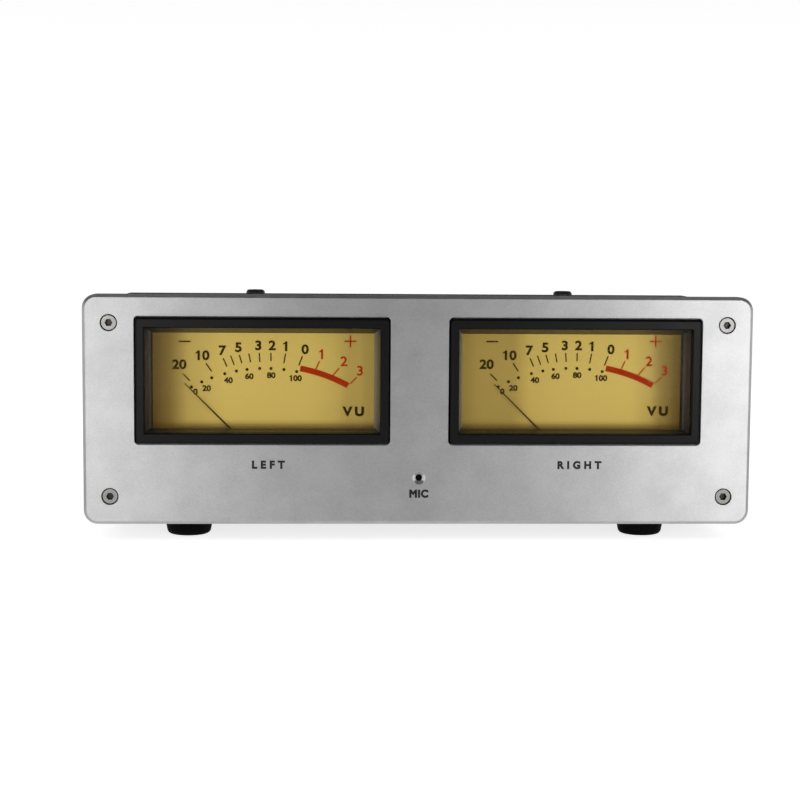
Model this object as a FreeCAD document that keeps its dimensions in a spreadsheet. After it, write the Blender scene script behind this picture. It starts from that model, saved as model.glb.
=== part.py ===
import FreeCAD, Part
import os
import re

import Sketcher
from FreeCAD import Placement, Rotation, Vector

# A stereo VU meter: a low metal box with two backlit moving-coil meters in its front panel and
# a sensing microphone between them.  Millimetres and degrees.  +X is to the right as the front
# is seen, the front faces -Y, +Z is up, and the origin lies under the middle of the whole box,
# level with the bottoms of the feet.

doc = FreeCAD.newDocument("stereo_vu_meter")

SIZES = {
    # front panel
    "panel_margin_side": 15.775,
    "panel_margin_top": 6.9,
    "panel_margin_bottom": 24.45,
    "panel_thickness": 5,
    "panel_corner": 4.2,
    "panel_edge": 0.9,
    "screw_inset_side": 7.9,
    "screw_inset_top": 8.4,
    "head_gap": 0.2,
    # sheet-metal body behind the panel
    "side_inset": 3,
    "end_inset": 2.4,
    "body_depth": 80,
    "sheet": 1.2,
    "cover_corner": 3,
    "cover_gap": 0.1,
    "top_flange": 15,
    "rear_lip": 10,
    "side_lip": 8,
    "lip_setback": 6,
    "cover_screw_inset": 45.5,
    "front_screw_depth": 14,
    "rear_screw_inset": 12,
    "lip_screw_inset": 35,
    "lip_screw_rise": 6,
    # feet
    "foot_drop": 5.6,
    "foot_radius": 8,
    "foot_taper": 1.5,
    "foot_edge": 1.5,
    "foot_inset": 30,
    "foot_front": 18,
    "foot_rear_inset": 16,
    "foot_recess_radius": 3.6,
    "foot_recess_depth": 4,
    # M2.5 socket-head screws through the front panel
    "panel_thread_radius": 1.2,
    "panel_hole": 1.4,
    "panel_nut_flats": 5,
    "cap_head_radius": 2.34,
    "cap_head_height": 2.5,
    "cap_head_edge": 0.25,
    "cap_recess": 0.24,
    "hex_key": 2,
    "hex_depth": 1.4,
    # M3 fasteners
    "thread_radius": 1.45,
    "thread_gap": 0.05,
    "clearance_hole": 1.7,
    "pan_head_radius": 3.15,
    "pan_head_height": 1.7,
    "pan_head_dome": 1.1,
    "cross_arm": 1.7,
    "cross_width": 0.75,
    "cross_depth": 1.0,
    "short_thread": 4,
    "nut_flats": 5.5,
    "nut_height": 2.4,
    # meter front: bezel, clear pane, dial frame and dial
    "meter_gap": 18.45,
    "bezel_width": 75,
    "bezel_height": 37.25,
    "bezel_proud": 0.8,
    "bezel_corner": 1,
    "bezel_edge": 0.45,
    "bezel_gap": 0.2,
    "cutout_edge": 0.4,
    "rim_side": 2.5,
    "rim_top": 2.95,
    "window_edge": 0.3,
    "pane_setback": 1.5,
    "pane_margin": 1,
    "pane_thickness": 1.5,
    "pane_gap": 0.2,
    "flange_margin": 1.8,
    "flange_rise": 0.9,
    "flange_thickness": 2,
    "flange_reach": 11,
    "dial_depth": 9,
    "dial_thickness": 0.5,
    "dial_gap": 0.3,
    "taper_side": 1.65,
    "taper_top": 1.95,
    "taper_bottom": 0.95,
    "slot_depth": 6.8,
    # meter case and lighting
    "case_gap": 0.4,
    "case_depth": 25,
    "case_wall": 1.2,
    "ledge": 3,
    "diffuser_thickness": 0.8,
    "lamp_board_gap": 3.55,
    "lamp_board_height": 8,
    "lamp_board_thickness": 1.2,
    "lamp_radius": 1.5,
    "lamp_length": 3,
    "lamp_spacing": 22,
    "terminal_x": 20,
    "terminal_radius": 1.2,
    "terminal_collar": 2.4,
    "terminal_length": 9,
    "terminal_drop": 28,
    # moving-coil movement
    "pivot_below": 6.475,
    "rest_angle": 45,
    "full_sweep": 94,
    "bridge_depth": 5.9,
    "bridge_thickness": 1,
    "bridge_length": 25,
    "bridge_height": 5,
    "bridge_corner": 1.6,
    "post_x": 10.8,
    "post_radius": 1.3,
    "post_tip": 0.8,
    "jewel_radius": 1.2,
    "jewel_bore": 0.36,
    "jewel_depth": 0.65,
    "jewel_proud": 0.2,
    "pivot_radius": 0.3,
    "needle_depth": 7.5,
    "needle_thickness": 0.3,
    "needle_length": 33.5,
    "needle_root": 0.75,
    "needle_tip": 0.26,
    "hub_radius": 1.3,
    "tail_length": 6,
    "weight_width": 3.4,
    "weight_height": 1.3,
    "spring_inner": 0.8,
    "spring_pitch": 0.7,
    "spring_strip": 0.12,
    "spring_width": 0.3,
    "spring_play": 0.15,
    "coil_depth": 8.6,
    "coil_length": 8.4,
    "coil_reach": 5.9,
    "coil_wire": 0.8,
    "coil_height": 1.8,
    "core_radius": 4.4,
    "core_play": 0.6,
    "yoke_inner": 6.6,
    "yoke_outer": 9,
    "yoke_play": 0.2,
    "frame_play": 0.6,
    "frame_thickness": 1.5,
    "frame_height": 10,
    "arm_width": 3,
    "stop_radius": 0.4,
    "stop_distance": 14,
    "stop_play": 0.05,
    # microphone
    "mic_rise": 14,
    "mic_hole": 1.05,
    "mic_countersink": 1.95,
    "mic_skin": 2.2,
    "mic_radius": 3,
    "mic_length": 5.2,
    "mic_gap": 0.2,
    "grommet_radius": 4.7,
    "grommet_length": 3.2,
    # circuit board
    "board_width": 112,
    "board_start": 37,
    "board_rear_gap": 5.8,
    "board_thickness": 1.6,
    "board_hole_inset": 4,
    "standoff_height": 6,
    "standoff_flats": 5,
    "chip_length": 9.8,
    "chip_width": 6.4,
    "chip_height": 3.4,
    "chip_spacing": 16,
    "chip_edge": 0.7,
    "capacitor_radius": 3.15,
    "capacitor_height": 11,
    "capacitor_edge": 0.6,
    "capacitor_x": 33,
    "capacitor_spacing": 9,
    "header_length": 10,
    "header_width": 5.8,
    "header_height": 7,
    "header_wall": 0.8,
    "header_spacing": 34,
    "lead_radius": 0.6,
    "lead_pitch": 2,
    "lead_reach": 4,
    "lead_rise": 4,
    # rear sockets and controls
    "rca_inset": 50,
    "rca_spacing": 20,
    "rca_shell_radius": 4.15,
    "rca_shell_wall": 0.6,
    "rca_shell_length": 8.5,
    "rca_flange_radius": 6,
    "rca_flange_thickness": 2,
    "rca_thread_radius": 3.2,
    "rca_thread_length": 10,
    "rca_core_radius": 2.2,
    "rca_contact_radius": 1.6,
    "rca_contact_bore": 1.15,
    "rca_nut_flats": 9,
    "dc_inset": 15,
    "dc_flange_radius": 6,
    "dc_flange_thickness": 2,
    "dc_body_radius": 5,
    "dc_body_length": 13,
    "dc_bore": 2.8,
    "dc_socket_depth": 10,
    "dc_pin_radius": 1.05,
    "dc_pin_length": 9,
    "dc_nut_flats": 13,
    "large_nut_height": 2.2,
    "small_gap": 0.04,
    "power_step": 24,
    "switch_width": 13,
    "switch_height": 19,
    "switch_flange": 1,
    "switch_face": 1.8,
    "switch_edge": 0.6,
    "switch_body_depth": 13,
    "switch_wall": 1.1,
    "rocker_play": 0.3,
    "rocker_pivot": 2.4,
    "rocker_radius": 8,
    "rocker_valley": 4.4,
    "rocker_slope": 9,
    "mode_x": -26,
    "mode_body_width": 8,
    "mode_body_height": 13,
    "mode_body_depth": 10,
    "mode_bush_radius": 3,
    "mode_bush_length": 7,
    "mode_bore": 2.2,
    "mode_ball": 2.05,
    "mode_pivot": 3.4,
    "mode_lever_root": 0.85,
    "mode_lever_tip": 1.3,
    "mode_lever_length": 10,
    "mode_throw": 12.5,
    "mode_nut_flats": 8,
    "knob_x": 4,
    "knob_radius": 7.5,
    "knob_length": 15,
    "knob_standoff": 1,
    "knob_edge": 0.8,
    "knob_recess_radius": 6.2,
    "knob_recess_depth": 4,
    "knob_grip_radius": 0.45,
    "knob_mark_width": 0.9,
    "knob_mark_length": 3.8,
    "knob_mark_centre": 4.9,
    "knob_mark_depth": 0.5,
    "pot_radius": 8.2,
    "pot_depth": 15,
    "pot_bush_radius": 3.5,
    "pot_bush_length": 5.5,
    "pot_bore_depth": 3,
    "shaft_radius": 3,
    "shaft_play": 0.05,
    "shaft_reach": 13,
    "pot_nut_flats": 10,
}

# Places worked out from the sizes.  Depths are measured back from the panel's front face.
PLACES = {
    "meter_x": "(bezel_width + meter_gap) / 2",
    "panel_width": "2 * (meter_x + bezel_width / 2 + panel_margin_side)",
    "panel_height": "bezel_height + panel_margin_top + panel_margin_bottom",
    "meter_rise": "(panel_height - bezel_height) / 2 - panel_margin_top",
    "panel_screw_x": "panel_width / 2 - screw_inset_side",
    "panel_screw_z": "panel_height / 2 - screw_inset_top",
    "rear_reach": "knob_standoff + knob_length",
    "front_y": "bezel_proud - (bezel_proud + body_depth + rear_reach) / 2",
    "panel_mid_z": "foot_drop + panel_height / 2",
    "body_bottom_z": "foot_drop + end_inset",
    "floor_z": "body_bottom_z + sheet",
    "body_top_z": "foot_drop + panel_height - end_inset",
    "cover_under_z": "body_top_z - sheet",
    "body_half_width": "panel_width / 2 - side_inset",
    "tray_half_width": "body_half_width - sheet - cover_gap",
    "cover_screw_x": "body_half_width - cover_screw_inset",
    "lip_screw_x": "body_half_width - lip_screw_inset",
    "foot_x": "panel_width / 2 - foot_inset",
    "wall_back": "panel_thickness + sheet",
    "rear_inner": "body_depth - sheet",
    "rear_screw_depth": "body_depth - rear_screw_inset",
    "foot_rear": "body_depth - foot_rear_inset",
    "rear_y": "front_y + body_depth",
    "rear_inner_y": "front_y + rear_inner",
    "thread_hole": "thread_radius + thread_gap",
    "bezel_mid_z": "panel_mid_z + meter_rise",
    "window_width": "bezel_width - 2 * rim_side",
    "window_height": "bezel_height - 2 * rim_top",
    "view_width": "window_width - 2 * taper_side",
    "view_height": "window_height - taper_top - taper_bottom",
    "view_rise": "(taper_bottom - taper_top) / 2",
    "pivot_drop": "bezel_height / 2 + pivot_below",
    "flange_width": "bezel_width + 2 * flange_margin",
    "flange_top": "bezel_height / 2 + flange_rise",
    "flange_bottom": "-pivot_drop - flange_reach",
    "flange_front": "panel_thickness - flange_thickness",
    "pane_front": "pane_setback - bezel_proud",
    "pane_back": "pane_front + pane_thickness",
    "pane_hole_width": "window_width + 2 * pane_margin",
    "pane_hole_height": "window_height + 2 * pane_margin",
    "pane_width": "pane_hole_width - 2 * pane_gap",
    "pane_height": "pane_hole_height - 2 * pane_gap",
    "case_width": "bezel_width - 2 * case_gap",
    "case_top": "bezel_height / 2 - case_gap",
    "case_bottom": "flange_bottom + 2 * case_gap",
    "lamp_board_length": "case_width - 2 * (case_wall + ledge + lamp_board_gap)",
    "case_back": "panel_thickness + case_depth",
    "case_floor": "case_back - case_wall",
    "dial_width": "case_width - 2 * case_wall - 2 * dial_gap",
    "dial_top": "case_top - case_wall - dial_gap",
    "dial_bottom": "-pane_height / 2 - dial_gap / 2",
    "dial_back": "dial_depth + dial_thickness",
    "diffuser_back": "dial_back + diffuser_thickness",
    "pivot_z": "bezel_mid_z - pivot_drop",
    "bridge_back": "bridge_depth + bridge_thickness",
    "coil_back": "coil_depth + coil_length",
    "frame_depth": "coil_back + frame_play",
    "yoke_depth": "diffuser_back + yoke_play",
    "core_front": "coil_depth + coil_wire + core_play",
    "yoke_seat": "sqrt(yoke_inner ^ 2 - (arm_width / 2) ^ 2)",
    "frame_back": "frame_depth + frame_thickness",
    "stop_offset": "asin((needle_root / 2 + stop_radius + stop_play) / stop_distance) / 1 deg",
    "mic_drop": "panel_height / 2 - mic_rise",
    "mic_z": "panel_mid_z - mic_drop",
    "rca_x": "body_half_width - rca_inset",
    "dc_x": "dc_inset - body_half_width",
    "power_x": "dc_x + power_step",
    "board_depth": "rear_inner - board_start - board_rear_gap",
    "board_z": "floor_z + standoff_height",
    "board_top_z": "board_z + board_thickness",
    "cap_seat": "cap_head_height + cap_recess",
}

SIDES = {"left": "-1", "right": "1"}
KNOB_GRIPS = 30


def formula(text):
    """Write each size or place by its sheet cell."""
    def cell(match):
        word = match.group(0)
        if word in SIZES:
            return "Sizes." + word
        return "Places." + word if word in PLACES else word
    return re.sub(r"[a-z][a-z0-9_]*", cell, text)


def fill_sheet(name, cells):
    """A sheet of one named cell to a row."""
    sheet = doc.addObject("Spreadsheet::Sheet", name)
    for row, (alias, content) in enumerate(cells.items(), start=1):
        sheet.set("A%d" % row, alias)
        sheet.set("B%d" % row, str(content))
        sheet.setAlias("B%d" % row, alias)
    doc.recompute()
    return sheet


sizes = fill_sheet("Sizes", SIZES)
places = fill_sheet("Places", {name: "=" + re.sub(r"\bPlaces\.", "", formula(text))
                               for name, text in PLACES.items()})


def number(text):
    return float(sizes.evalExpression(formula(text)))


def bind(item, **settings):
    for name, text in settings.items():
        item.setExpression(name, formula(text))
    return item


def place(item, x="0", y="0", z="0", turn=Rotation()):
    """Put an item at a point, after a turn about its own origin."""
    item.Placement = Placement(Vector(), turn)
    for axis, text in zip("xyz", (x, y, z)):
        item.setExpression("Placement.Base." + axis, formula(text))
    return item


# ---------------------------------------------------------------- primitives and booleans

HEAD_BACK = Rotation(Vector(1, 0, 0), -90)
HEAD_DOWN = Rotation(Vector(1, 0, 0), 180)
ALONG = {"x": Rotation(Vector(0, 1, 0), 90), "y": Rotation(Vector(1, 0, 0), -90), "z": Rotation()}


def middle(centre, length):
    """The low end and the length of a stretch that is given by its centre."""
    return "(%s) - (%s) / 2" % (centre, length), length


def box(name, across, back, up):
    """A box from its (low end, length) along X, Y and Z."""
    item = bind(doc.addObject("Part::Box", name), Length=across[1], Width=back[1], Height=up[1])
    return place(item, across[0], back[0], up[0])


def rod(name, radius, length, spot, along="y"):
    item = bind(doc.addObject("Part::Cylinder", name), Radius=radius, Height=length)
    return place(item, *spot, turn=ALONG[along])


def ball(name, radius, spot):
    return place(bind(doc.addObject("Part::Sphere", name), Radius=radius), *spot)


def fuse(name, *pieces):
    whole = doc.addObject("Part::MultiFuse", name)
    whole.Shapes = list(pieces)
    whole.Refine = True
    return whole


def cut(name, base, *tools):
    whole = doc.addObject("Part::Cut", name)
    whole.Base = base
    whole.Tool = tools[0] if len(tools) == 1 else fuse(name + "_tools", *tools)
    return whole


def group(name, *pieces):
    """Separate solids kept under one name."""
    whole = doc.addObject("Part::Compound", name)
    whole.Links = list(pieces)
    return whole


def copy(name, master, spot, turn=Rotation()):
    """The master once more, at another spot."""
    link = doc.addObject("App::Link", name)
    link.LinkedObject = master
    return place(link, *spot, turn=turn)


def copies(name, master, spots, turn=Rotation()):
    """One copy of the master at each spot, kept as separate solids under one name."""
    return group(name, *[copy(name + "_copy", master, spot, turn) for spot in spots])


# ---------------------------------------------------------------- part design

OFFSET_SIGN = {"XY": "", "XZ": "-", "YZ": ""}


def body(name, x="0", y="0", z="0", turn=Rotation()):
    return place(doc.addObject("PartDesign::Body", name), x, y, z, turn)


def sketch(owner, plane, offset="0"):
    """A sketch on one of the body's own origin planes, moved up its +X, +Y or +Z by an offset."""
    item = owner.newObject("Sketcher::SketchObject", owner.Name + "_sketch")
    origin_plane = [f for f in owner.Origin.OriginFeatures if f.Role == plane + "_Plane"][0]
    item.AttachmentSupport = [(origin_plane, "")]
    item.MapMode = "FlatFace"
    item.setExpression("AttachmentOffset.Base.z", formula("%s(%s)" % (OFFSET_SIGN[plane], offset)))
    return item


def pin_point(profile, geometry, position, point):
    """Hold one point of a sketch at a pair of formulas."""
    for kind, text in zip(("DistanceX", "DistanceY"), point):
        held = Sketcher.Constraint(kind, -1, 1, geometry, position, number(text))
        profile.setExpression("Constraints[%d]" % profile.addConstraint(held), formula(text))


def outline(profile, points):
    """A closed outline of straight lines."""
    first = profile.GeometryCount
    corners = [Vector(number(u), number(v), 0) for u, v in points]
    for index, corner in enumerate(corners):
        profile.addGeometry(Part.LineSegment(corner, corners[(index + 1) % len(corners)]), False)
    for index, point in enumerate(points):
        after = first + (index + 1) % len(points)
        profile.addConstraint(Sketcher.Constraint("Coincident", first + index, 2, after, 1))
        pin_point(profile, first + index, 1, point)
    return profile


def rectangle(profile, width, height, u="0", v="0"):
    left, right = ("(%s) %s (%s) / 2" % (u, sign, width) for sign in "-+")
    low, high = ("(%s) %s (%s) / 2" % (v, sign, height) for sign in "-+")
    return outline(profile, [(left, low), (right, low), (right, high), (left, high)])


def circle(profile, radius, u="0", v="0"):
    centre = Vector(number(u), number(v), 0)
    index = profile.addGeometry(Part.Circle(centre, Vector(0, 0, 1), number(radius)), False)
    held = profile.addConstraint(Sketcher.Constraint("Radius", index, number(radius)))
    profile.setExpression("Constraints[%d]" % held, formula(radius))
    pin_point(profile, index, 3, (u, v))
    return profile


def hexagon(profile, flats, u="0", v="0"):
    points = [("(%s) + (%s) / sqrt(3) * cos(%d)" % (u, flats, angle),
               "(%s) + (%s) / sqrt(3) * sin(%d)" % (v, flats, angle)) for angle in range(0, 360, 60)]
    return outline(profile, points)


def cross(profile, arm, width):
    """A plus-shaped outline."""
    tip, side = arm, "(%s) / 2" % width
    quarter = [(tip, "-" + side), (tip, side), (side, side)]
    points = []
    for _ in range(4):
        points += quarter
        quarter = [("-(%s)" % v, u) for u, v in quarter]
    return outline(profile, points)


def extrude(owner, kind, profile, length, forward):
    feature = owner.newObject("PartDesign::" + kind, owner.Name + "_" + kind.lower())
    feature.Profile = profile
    feature.Reversed = forward
    return bind(feature, Length=length)


def faces_back(profile):
    """True for a sketch on the XZ plane, whose normal is -Y."""
    return profile.AttachmentSupport[0][0].Role == "XZ_Plane"


def pad(owner, profile, length):
    """Add material from the sketch towards +X, +Y or +Z."""
    return extrude(owner, "Pad", profile, length, faces_back(profile))


def pocket(owner, profile, length):
    """Take material away from the sketch towards +X, +Y or +Z."""
    return extrude(owner, "Pocket", profile, length, not faces_back(profile))


def turned(name, points, along="y", spot=("0", "0", "0")):
    """A body turned about Y or Z, from points (distance along the axis, radius)."""
    owner = body(name, *spot)
    if along == "y":
        profile = outline(sketch(owner, "YZ"), points)
    else:
        profile = outline(sketch(owner, "XZ"), [(radius, height) for height, radius in points])
    turn = owner.newObject("PartDesign::Revolution", name + "_turn")
    turn.Profile = profile
    turn.ReferenceAxis = (profile, ["H_Axis" if along == "y" else "V_Axis"])
    turn.Angle = 360
    return owner


def dress(owner, kind, size, wanted):
    """Round or bevel the edges of the body that the test picks."""
    doc.recompute()
    base = owner.Tip
    names = ["Edge%d" % index for index, edge in enumerate(base.Shape.Edges, start=1) if wanted(edge)]
    feature = owner.newObject("PartDesign::" + kind, owner.Name + "_" + kind.lower())
    feature.Base = (base, names)
    bind(feature, **{"Radius" if kind == "Fillet" else "Size": size})
    return feature


def at(value, text):
    return abs(value - number(text)) < 1e-4


def lies_at(axis, text):
    """Test for edges that lie wholly at one height along an axis."""
    def wanted(edge):
        limits = edge.BoundBox
        low, high = getattr(limits, axis + "Min"), getattr(limits, axis + "Max")
        return at(low, text) and at(high, text)
    return wanted


def rim_within(depth, half_width, half_height):
    """Test for edges at one depth whose middle lies inside a half width and half height."""
    def wanted(edge):
        centre = edge.BoundBox.Center
        return (lies_at("Y", depth)(edge) and abs(centre.x) < number(half_width)
                and abs(centre.z) < number(half_height))
    return wanted


def runs_along(axis, *corners):
    """Test for straight edges along an axis that pass through one of some corner points."""
    others = [name for name in "XYZ" if name != axis]

    def wanted(edge):
        centre = edge.BoundBox.Center
        spread = [getattr(edge.BoundBox, name + "Length") for name in others]
        spot = [getattr(centre, name.lower()) for name in others]
        return max(spread) < 1e-4 and any(at(spot[0], u) and at(spot[1], v) for u, v in corners)
    return wanted


def mirrored_corners(half_width, half_height):
    return [(sign_u + "(%s)" % half_width, sign_v + "(%s)" % half_height)
            for sign_u in ("", "-") for sign_v in ("", "-")]


# ---------------------------------------------------------------- fasteners

def cap_screw(name, thread_length):
    """M2.5 socket-head screw lying along Y: its head is in front and its seat is at 0."""
    owner = turned(name, [("-cap_head_height", "0"), ("-cap_head_height", "cap_head_radius"),
                          ("0", "cap_head_radius"), ("0", "panel_thread_radius"),
                          (thread_length, "panel_thread_radius"), (thread_length, "0")])
    dress(owner, "Fillet", "cap_head_edge", lies_at("Y", "-cap_head_height"))
    socket = hexagon(sketch(owner, "XZ", "-cap_head_height"), "hex_key")
    pocket(owner, socket, "hex_depth")
    return owner


def pan_screw(name, thread_length):
    """M3 pan-head screw with a cross recess, head up, its seat at 0."""
    owner = turned(name, [("pan_head_height", "0"), ("pan_head_height", "pan_head_radius"),
                          ("0", "pan_head_radius"), ("0", "thread_radius"),
                          ("-(%s)" % thread_length, "thread_radius"), ("-(%s)" % thread_length, "0")],
                   along="z")
    dress(owner, "Fillet", "pan_head_dome", lies_at("Z", "pan_head_height"))
    recess = cross(sketch(owner, "XY", "pan_head_height - cross_depth"), "cross_arm", "cross_width")
    pocket(owner, recess, "cross_depth")
    return owner


def hex_nut(name, flats, height, bore, along="z"):
    """A plain hex nut standing on 0."""
    owner = body(name)
    profile = sketch(owner, "XY" if along == "z" else "XZ")
    hexagon(profile, flats)
    circle(profile, bore)
    pad(owner, profile, height)
    return owner


# ---------------------------------------------------------------- enclosure

def front_panel():
    """Thick aluminium panel, pierced for the two meters and the microphone."""
    owner = body("front_panel", "0", "front_y", "panel_mid_z")
    pad(owner, rectangle(sketch(owner, "XZ"), "panel_width", "panel_height"), "panel_thickness")
    dress(owner, "Fillet", "panel_corner",
          runs_along("Y", *mirrored_corners("panel_width / 2", "panel_height / 2")))
    dress(owner, "Chamfer", "panel_edge", lies_at("Y", "0"))
    holes = sketch(owner, "XZ")
    for sign in SIDES.values():
        rectangle(holes, "bezel_width + 2 * bezel_gap", "bezel_height + 2 * bezel_gap",
                  sign + " * meter_x", "meter_rise")
    pocket(owner, holes, "panel_thickness")
    half_width, half_height = "(bezel_width / 2 + bezel_gap)", "(bezel_height / 2 + bezel_gap)"
    corners = [("%s * meter_x %s %s" % (sign, way, half_width), "meter_rise %s %s" % (rise, half_height))
               for sign in SIDES.values() for way in "+-" for rise in "+-"]
    dress(owner, "Fillet", "bezel_corner", runs_along("Y", *corners))
    dress(owner, "Chamfer", "cutout_edge",
          rim_within("0", "panel_width / 2 - panel_corner", "panel_height / 2 - panel_corner"))
    rebates = sketch(owner, "XZ", "flange_front")
    for sign in SIDES.values():
        rectangle(rebates, "flange_width + 2 * bezel_gap", "flange_top - flange_bottom + 2 * bezel_gap",
                  sign + " * meter_x", "meter_rise + (flange_top + flange_bottom) / 2")
    pocket(owner, rebates, "flange_thickness")
    doc.recompute()
    screw_spots = sketch(owner, "XZ")
    for u, v in mirrored_corners("panel_screw_x", "panel_screw_z"):
        circle(screw_spots, "panel_hole", u, v)
    screw_holes = owner.newObject("PartDesign::Hole", "panel_screw_holes")
    screw_holes.Profile = screw_spots
    screw_holes.DepthType = "ThroughAll"
    screw_holes.HoleCutType = "Counterbore"
    bind(screw_holes, Diameter="2 * panel_hole",
         HoleCutDiameter="2 * (cap_head_radius + head_gap)", HoleCutDepth="cap_seat")
    doc.recompute()
    mic_spot = circle(sketch(owner, "XZ"), "mic_hole", "0", "-mic_drop")
    mic_hole = owner.newObject("PartDesign::Hole", "panel_mic_hole")
    mic_hole.Profile = mic_spot
    mic_hole.DepthType = "ThroughAll"
    mic_hole.HoleCutType = "Countersink"
    mic_hole.HoleCutCountersinkAngle = 90
    bind(mic_hole, Diameter="2 * mic_hole", HoleCutDiameter="2 * mic_countersink")
    mic_seat = circle(sketch(owner, "XZ", "mic_skin"), "mic_radius + mic_gap", "0", "-mic_drop")
    pocket(owner, mic_seat, "panel_thickness - mic_skin")
    return owner


def round_top_corners(owner):
    dress(owner, "Fillet", "cover_corner",
          runs_along("Y", ("tray_half_width", "cover_under_z"), ("-tray_half_width", "cover_under_z")))


def chassis_tray():
    """Folded steel floor with a front wall that clamps the meters, a rear lip and side lips."""
    owner = body("chassis_tray", "0", "front_y", "0")
    strip = outline(sketch(owner, "YZ", "-tray_half_width"), [
        ("panel_thickness", "body_bottom_z"),
        ("rear_inner", "body_bottom_z"),
        ("rear_inner", "floor_z + rear_lip"),
        ("rear_inner - sheet", "floor_z + rear_lip"),
        ("rear_inner - sheet", "floor_z"),
        ("wall_back", "floor_z"),
        ("wall_back", "cover_under_z - sheet"),
        ("wall_back + top_flange", "cover_under_z - sheet"),
        ("wall_back + top_flange", "cover_under_z"),
        ("panel_thickness", "cover_under_z")])
    pad(owner, strip, "2 * tray_half_width")
    round_top_corners(owner)
    lips = sketch(owner, "XZ", "wall_back + lip_setback")
    for sign in SIDES.values():
        rectangle(lips, "sheet", "side_lip + sheet", sign + " * (tray_half_width - sheet / 2)",
                  "floor_z + side_lip / 2 - sheet / 2")
    pad(owner, lips, "rear_inner - wall_back - 2 * lip_setback")
    wall = sketch(owner, "XZ", "panel_thickness")
    for sign in SIDES.values():
        rectangle(wall, "case_width + 2 * case_gap", "case_top - case_bottom + 2 * case_gap",
                  sign + " * meter_x", "bezel_mid_z + (case_top + case_bottom) / 2")
    circle(wall, "grommet_radius + small_gap", "0", "mic_z")
    for u, v in mirrored_corners("panel_screw_x", "panel_screw_z"):
        circle(wall, "panel_hole", u, "panel_mid_z + %s" % v)
    pocket(owner, wall, "sheet")
    floor = sketch(owner, "XY", "body_bottom_z")
    for sign in SIDES.values():
        for depth in ("foot_front", "foot_rear"):
            circle(floor, "clearance_hole", sign + " * foot_x", depth)
    for x, depth in board_hole_spots():
        circle(floor, "thread_hole", x, depth)
    pocket(owner, floor, "sheet")
    flange = sketch(owner, "XY", "cover_under_z - sheet")
    lip = sketch(owner, "XZ", "rear_inner - sheet")
    for sign in SIDES.values():
        circle(flange, "thread_hole", sign + " * cover_screw_x", "front_screw_depth")
        circle(lip, "thread_hole", sign + " * lip_screw_x", "floor_z + lip_screw_rise")
    pocket(owner, flange, "sheet")
    pocket(owner, lip, "sheet")
    return owner


def rear_panel():
    """Rear plate with a flange that the cover screws into, pierced for sockets and controls."""
    owner = body("rear_panel", "0", "front_y", "0")
    strip = outline(sketch(owner, "YZ", "-tray_half_width"), [
        ("rear_inner", "body_bottom_z"),
        ("body_depth", "body_bottom_z"),
        ("body_depth", "cover_under_z"),
        ("rear_inner - top_flange", "cover_under_z"),
        ("rear_inner - top_flange", "cover_under_z - sheet"),
        ("rear_inner", "cover_under_z - sheet")])
    pad(owner, strip, "2 * tray_half_width")
    round_top_corners(owner)
    flange = sketch(owner, "XY", "cover_under_z - sheet")
    holes = sketch(owner, "XZ", "rear_inner")
    for sign in SIDES.values():
        circle(flange, "thread_hole", sign + " * cover_screw_x", "rear_screw_depth")
        circle(holes, "clearance_hole", sign + " * lip_screw_x", "floor_z + lip_screw_rise")
    pocket(owner, flange, "sheet")
    for x in RCA_PLACES.values():
        circle(holes, "rca_thread_radius + small_gap", x, "panel_mid_z")
    circle(holes, "dc_body_radius + small_gap", "dc_x", "panel_mid_z")
    circle(holes, "mode_bush_radius + small_gap", "mode_x", "panel_mid_z")
    circle(holes, "pot_bush_radius + small_gap", "knob_x", "panel_mid_z")
    rectangle(holes, "switch_width + 2 * small_gap", "switch_height + 2 * small_gap",
              "power_x", "panel_mid_z")
    pocket(owner, holes, "sheet")
    return owner


def top_cover():
    """Steel cover folded down over both sides."""
    owner = body("top_cover", "0", "front_y", "0")
    inner = "(body_half_width - sheet)"
    arch = outline(sketch(owner, "XZ", "panel_thickness"), [
        ("-body_half_width", "body_bottom_z"),
        ("-" + inner, "body_bottom_z"),
        ("-" + inner, "cover_under_z"),
        (inner, "cover_under_z"),
        (inner, "body_bottom_z"),
        ("body_half_width", "body_bottom_z"),
        ("body_half_width", "body_top_z"),
        ("-body_half_width", "body_top_z")])
    pad(owner, arch, "body_depth - panel_thickness")
    dress(owner, "Fillet", "cover_corner",
          runs_along("Y", ("body_half_width", "body_top_z"), ("-body_half_width", "body_top_z")))
    dress(owner, "Fillet", "cover_corner - sheet",
          runs_along("Y", (inner, "cover_under_z"), ("-" + inner, "cover_under_z")))
    holes = sketch(owner, "XY", "cover_under_z")
    for sign in SIDES.values():
        for depth in ("front_screw_depth", "rear_screw_depth"):
            circle(holes, "clearance_hole", sign + " * cover_screw_x", depth)
    pocket(owner, holes, "sheet")
    return owner


def panel_screws():
    seat = "front_y + cap_seat"
    master = cap_screw("cap_screw", "wall_back + nut_height - cap_seat")
    spots = [(u, seat, "panel_mid_z + " + v)
             for u, v in mirrored_corners("panel_screw_x", "panel_screw_z")]
    return copies("front_panel_screws", master, spots)


def case_screws():
    """Four short screws down through the cover and two through the rear panel's foot."""
    master = pan_screw("short_screw", "short_thread")
    pieces = []
    for sign in SIDES.values():
        for depth in ("front_screw_depth", "rear_screw_depth"):
            spot = (sign + " * cover_screw_x", "front_y + " + depth, "body_top_z")
            pieces.append(copy("cover_screw", master, spot))
        spot = (sign + " * lip_screw_x", "rear_y", "floor_z + lip_screw_rise")
        pieces.append(copy("lip_screw", master, spot, HEAD_BACK))
    return group("case_screws", *pieces)


def foot_spots(height):
    return [(sign + " * foot_x", "front_y + " + depth, height)
            for sign in SIDES.values() for depth in ("foot_front", "foot_rear")]


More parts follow.
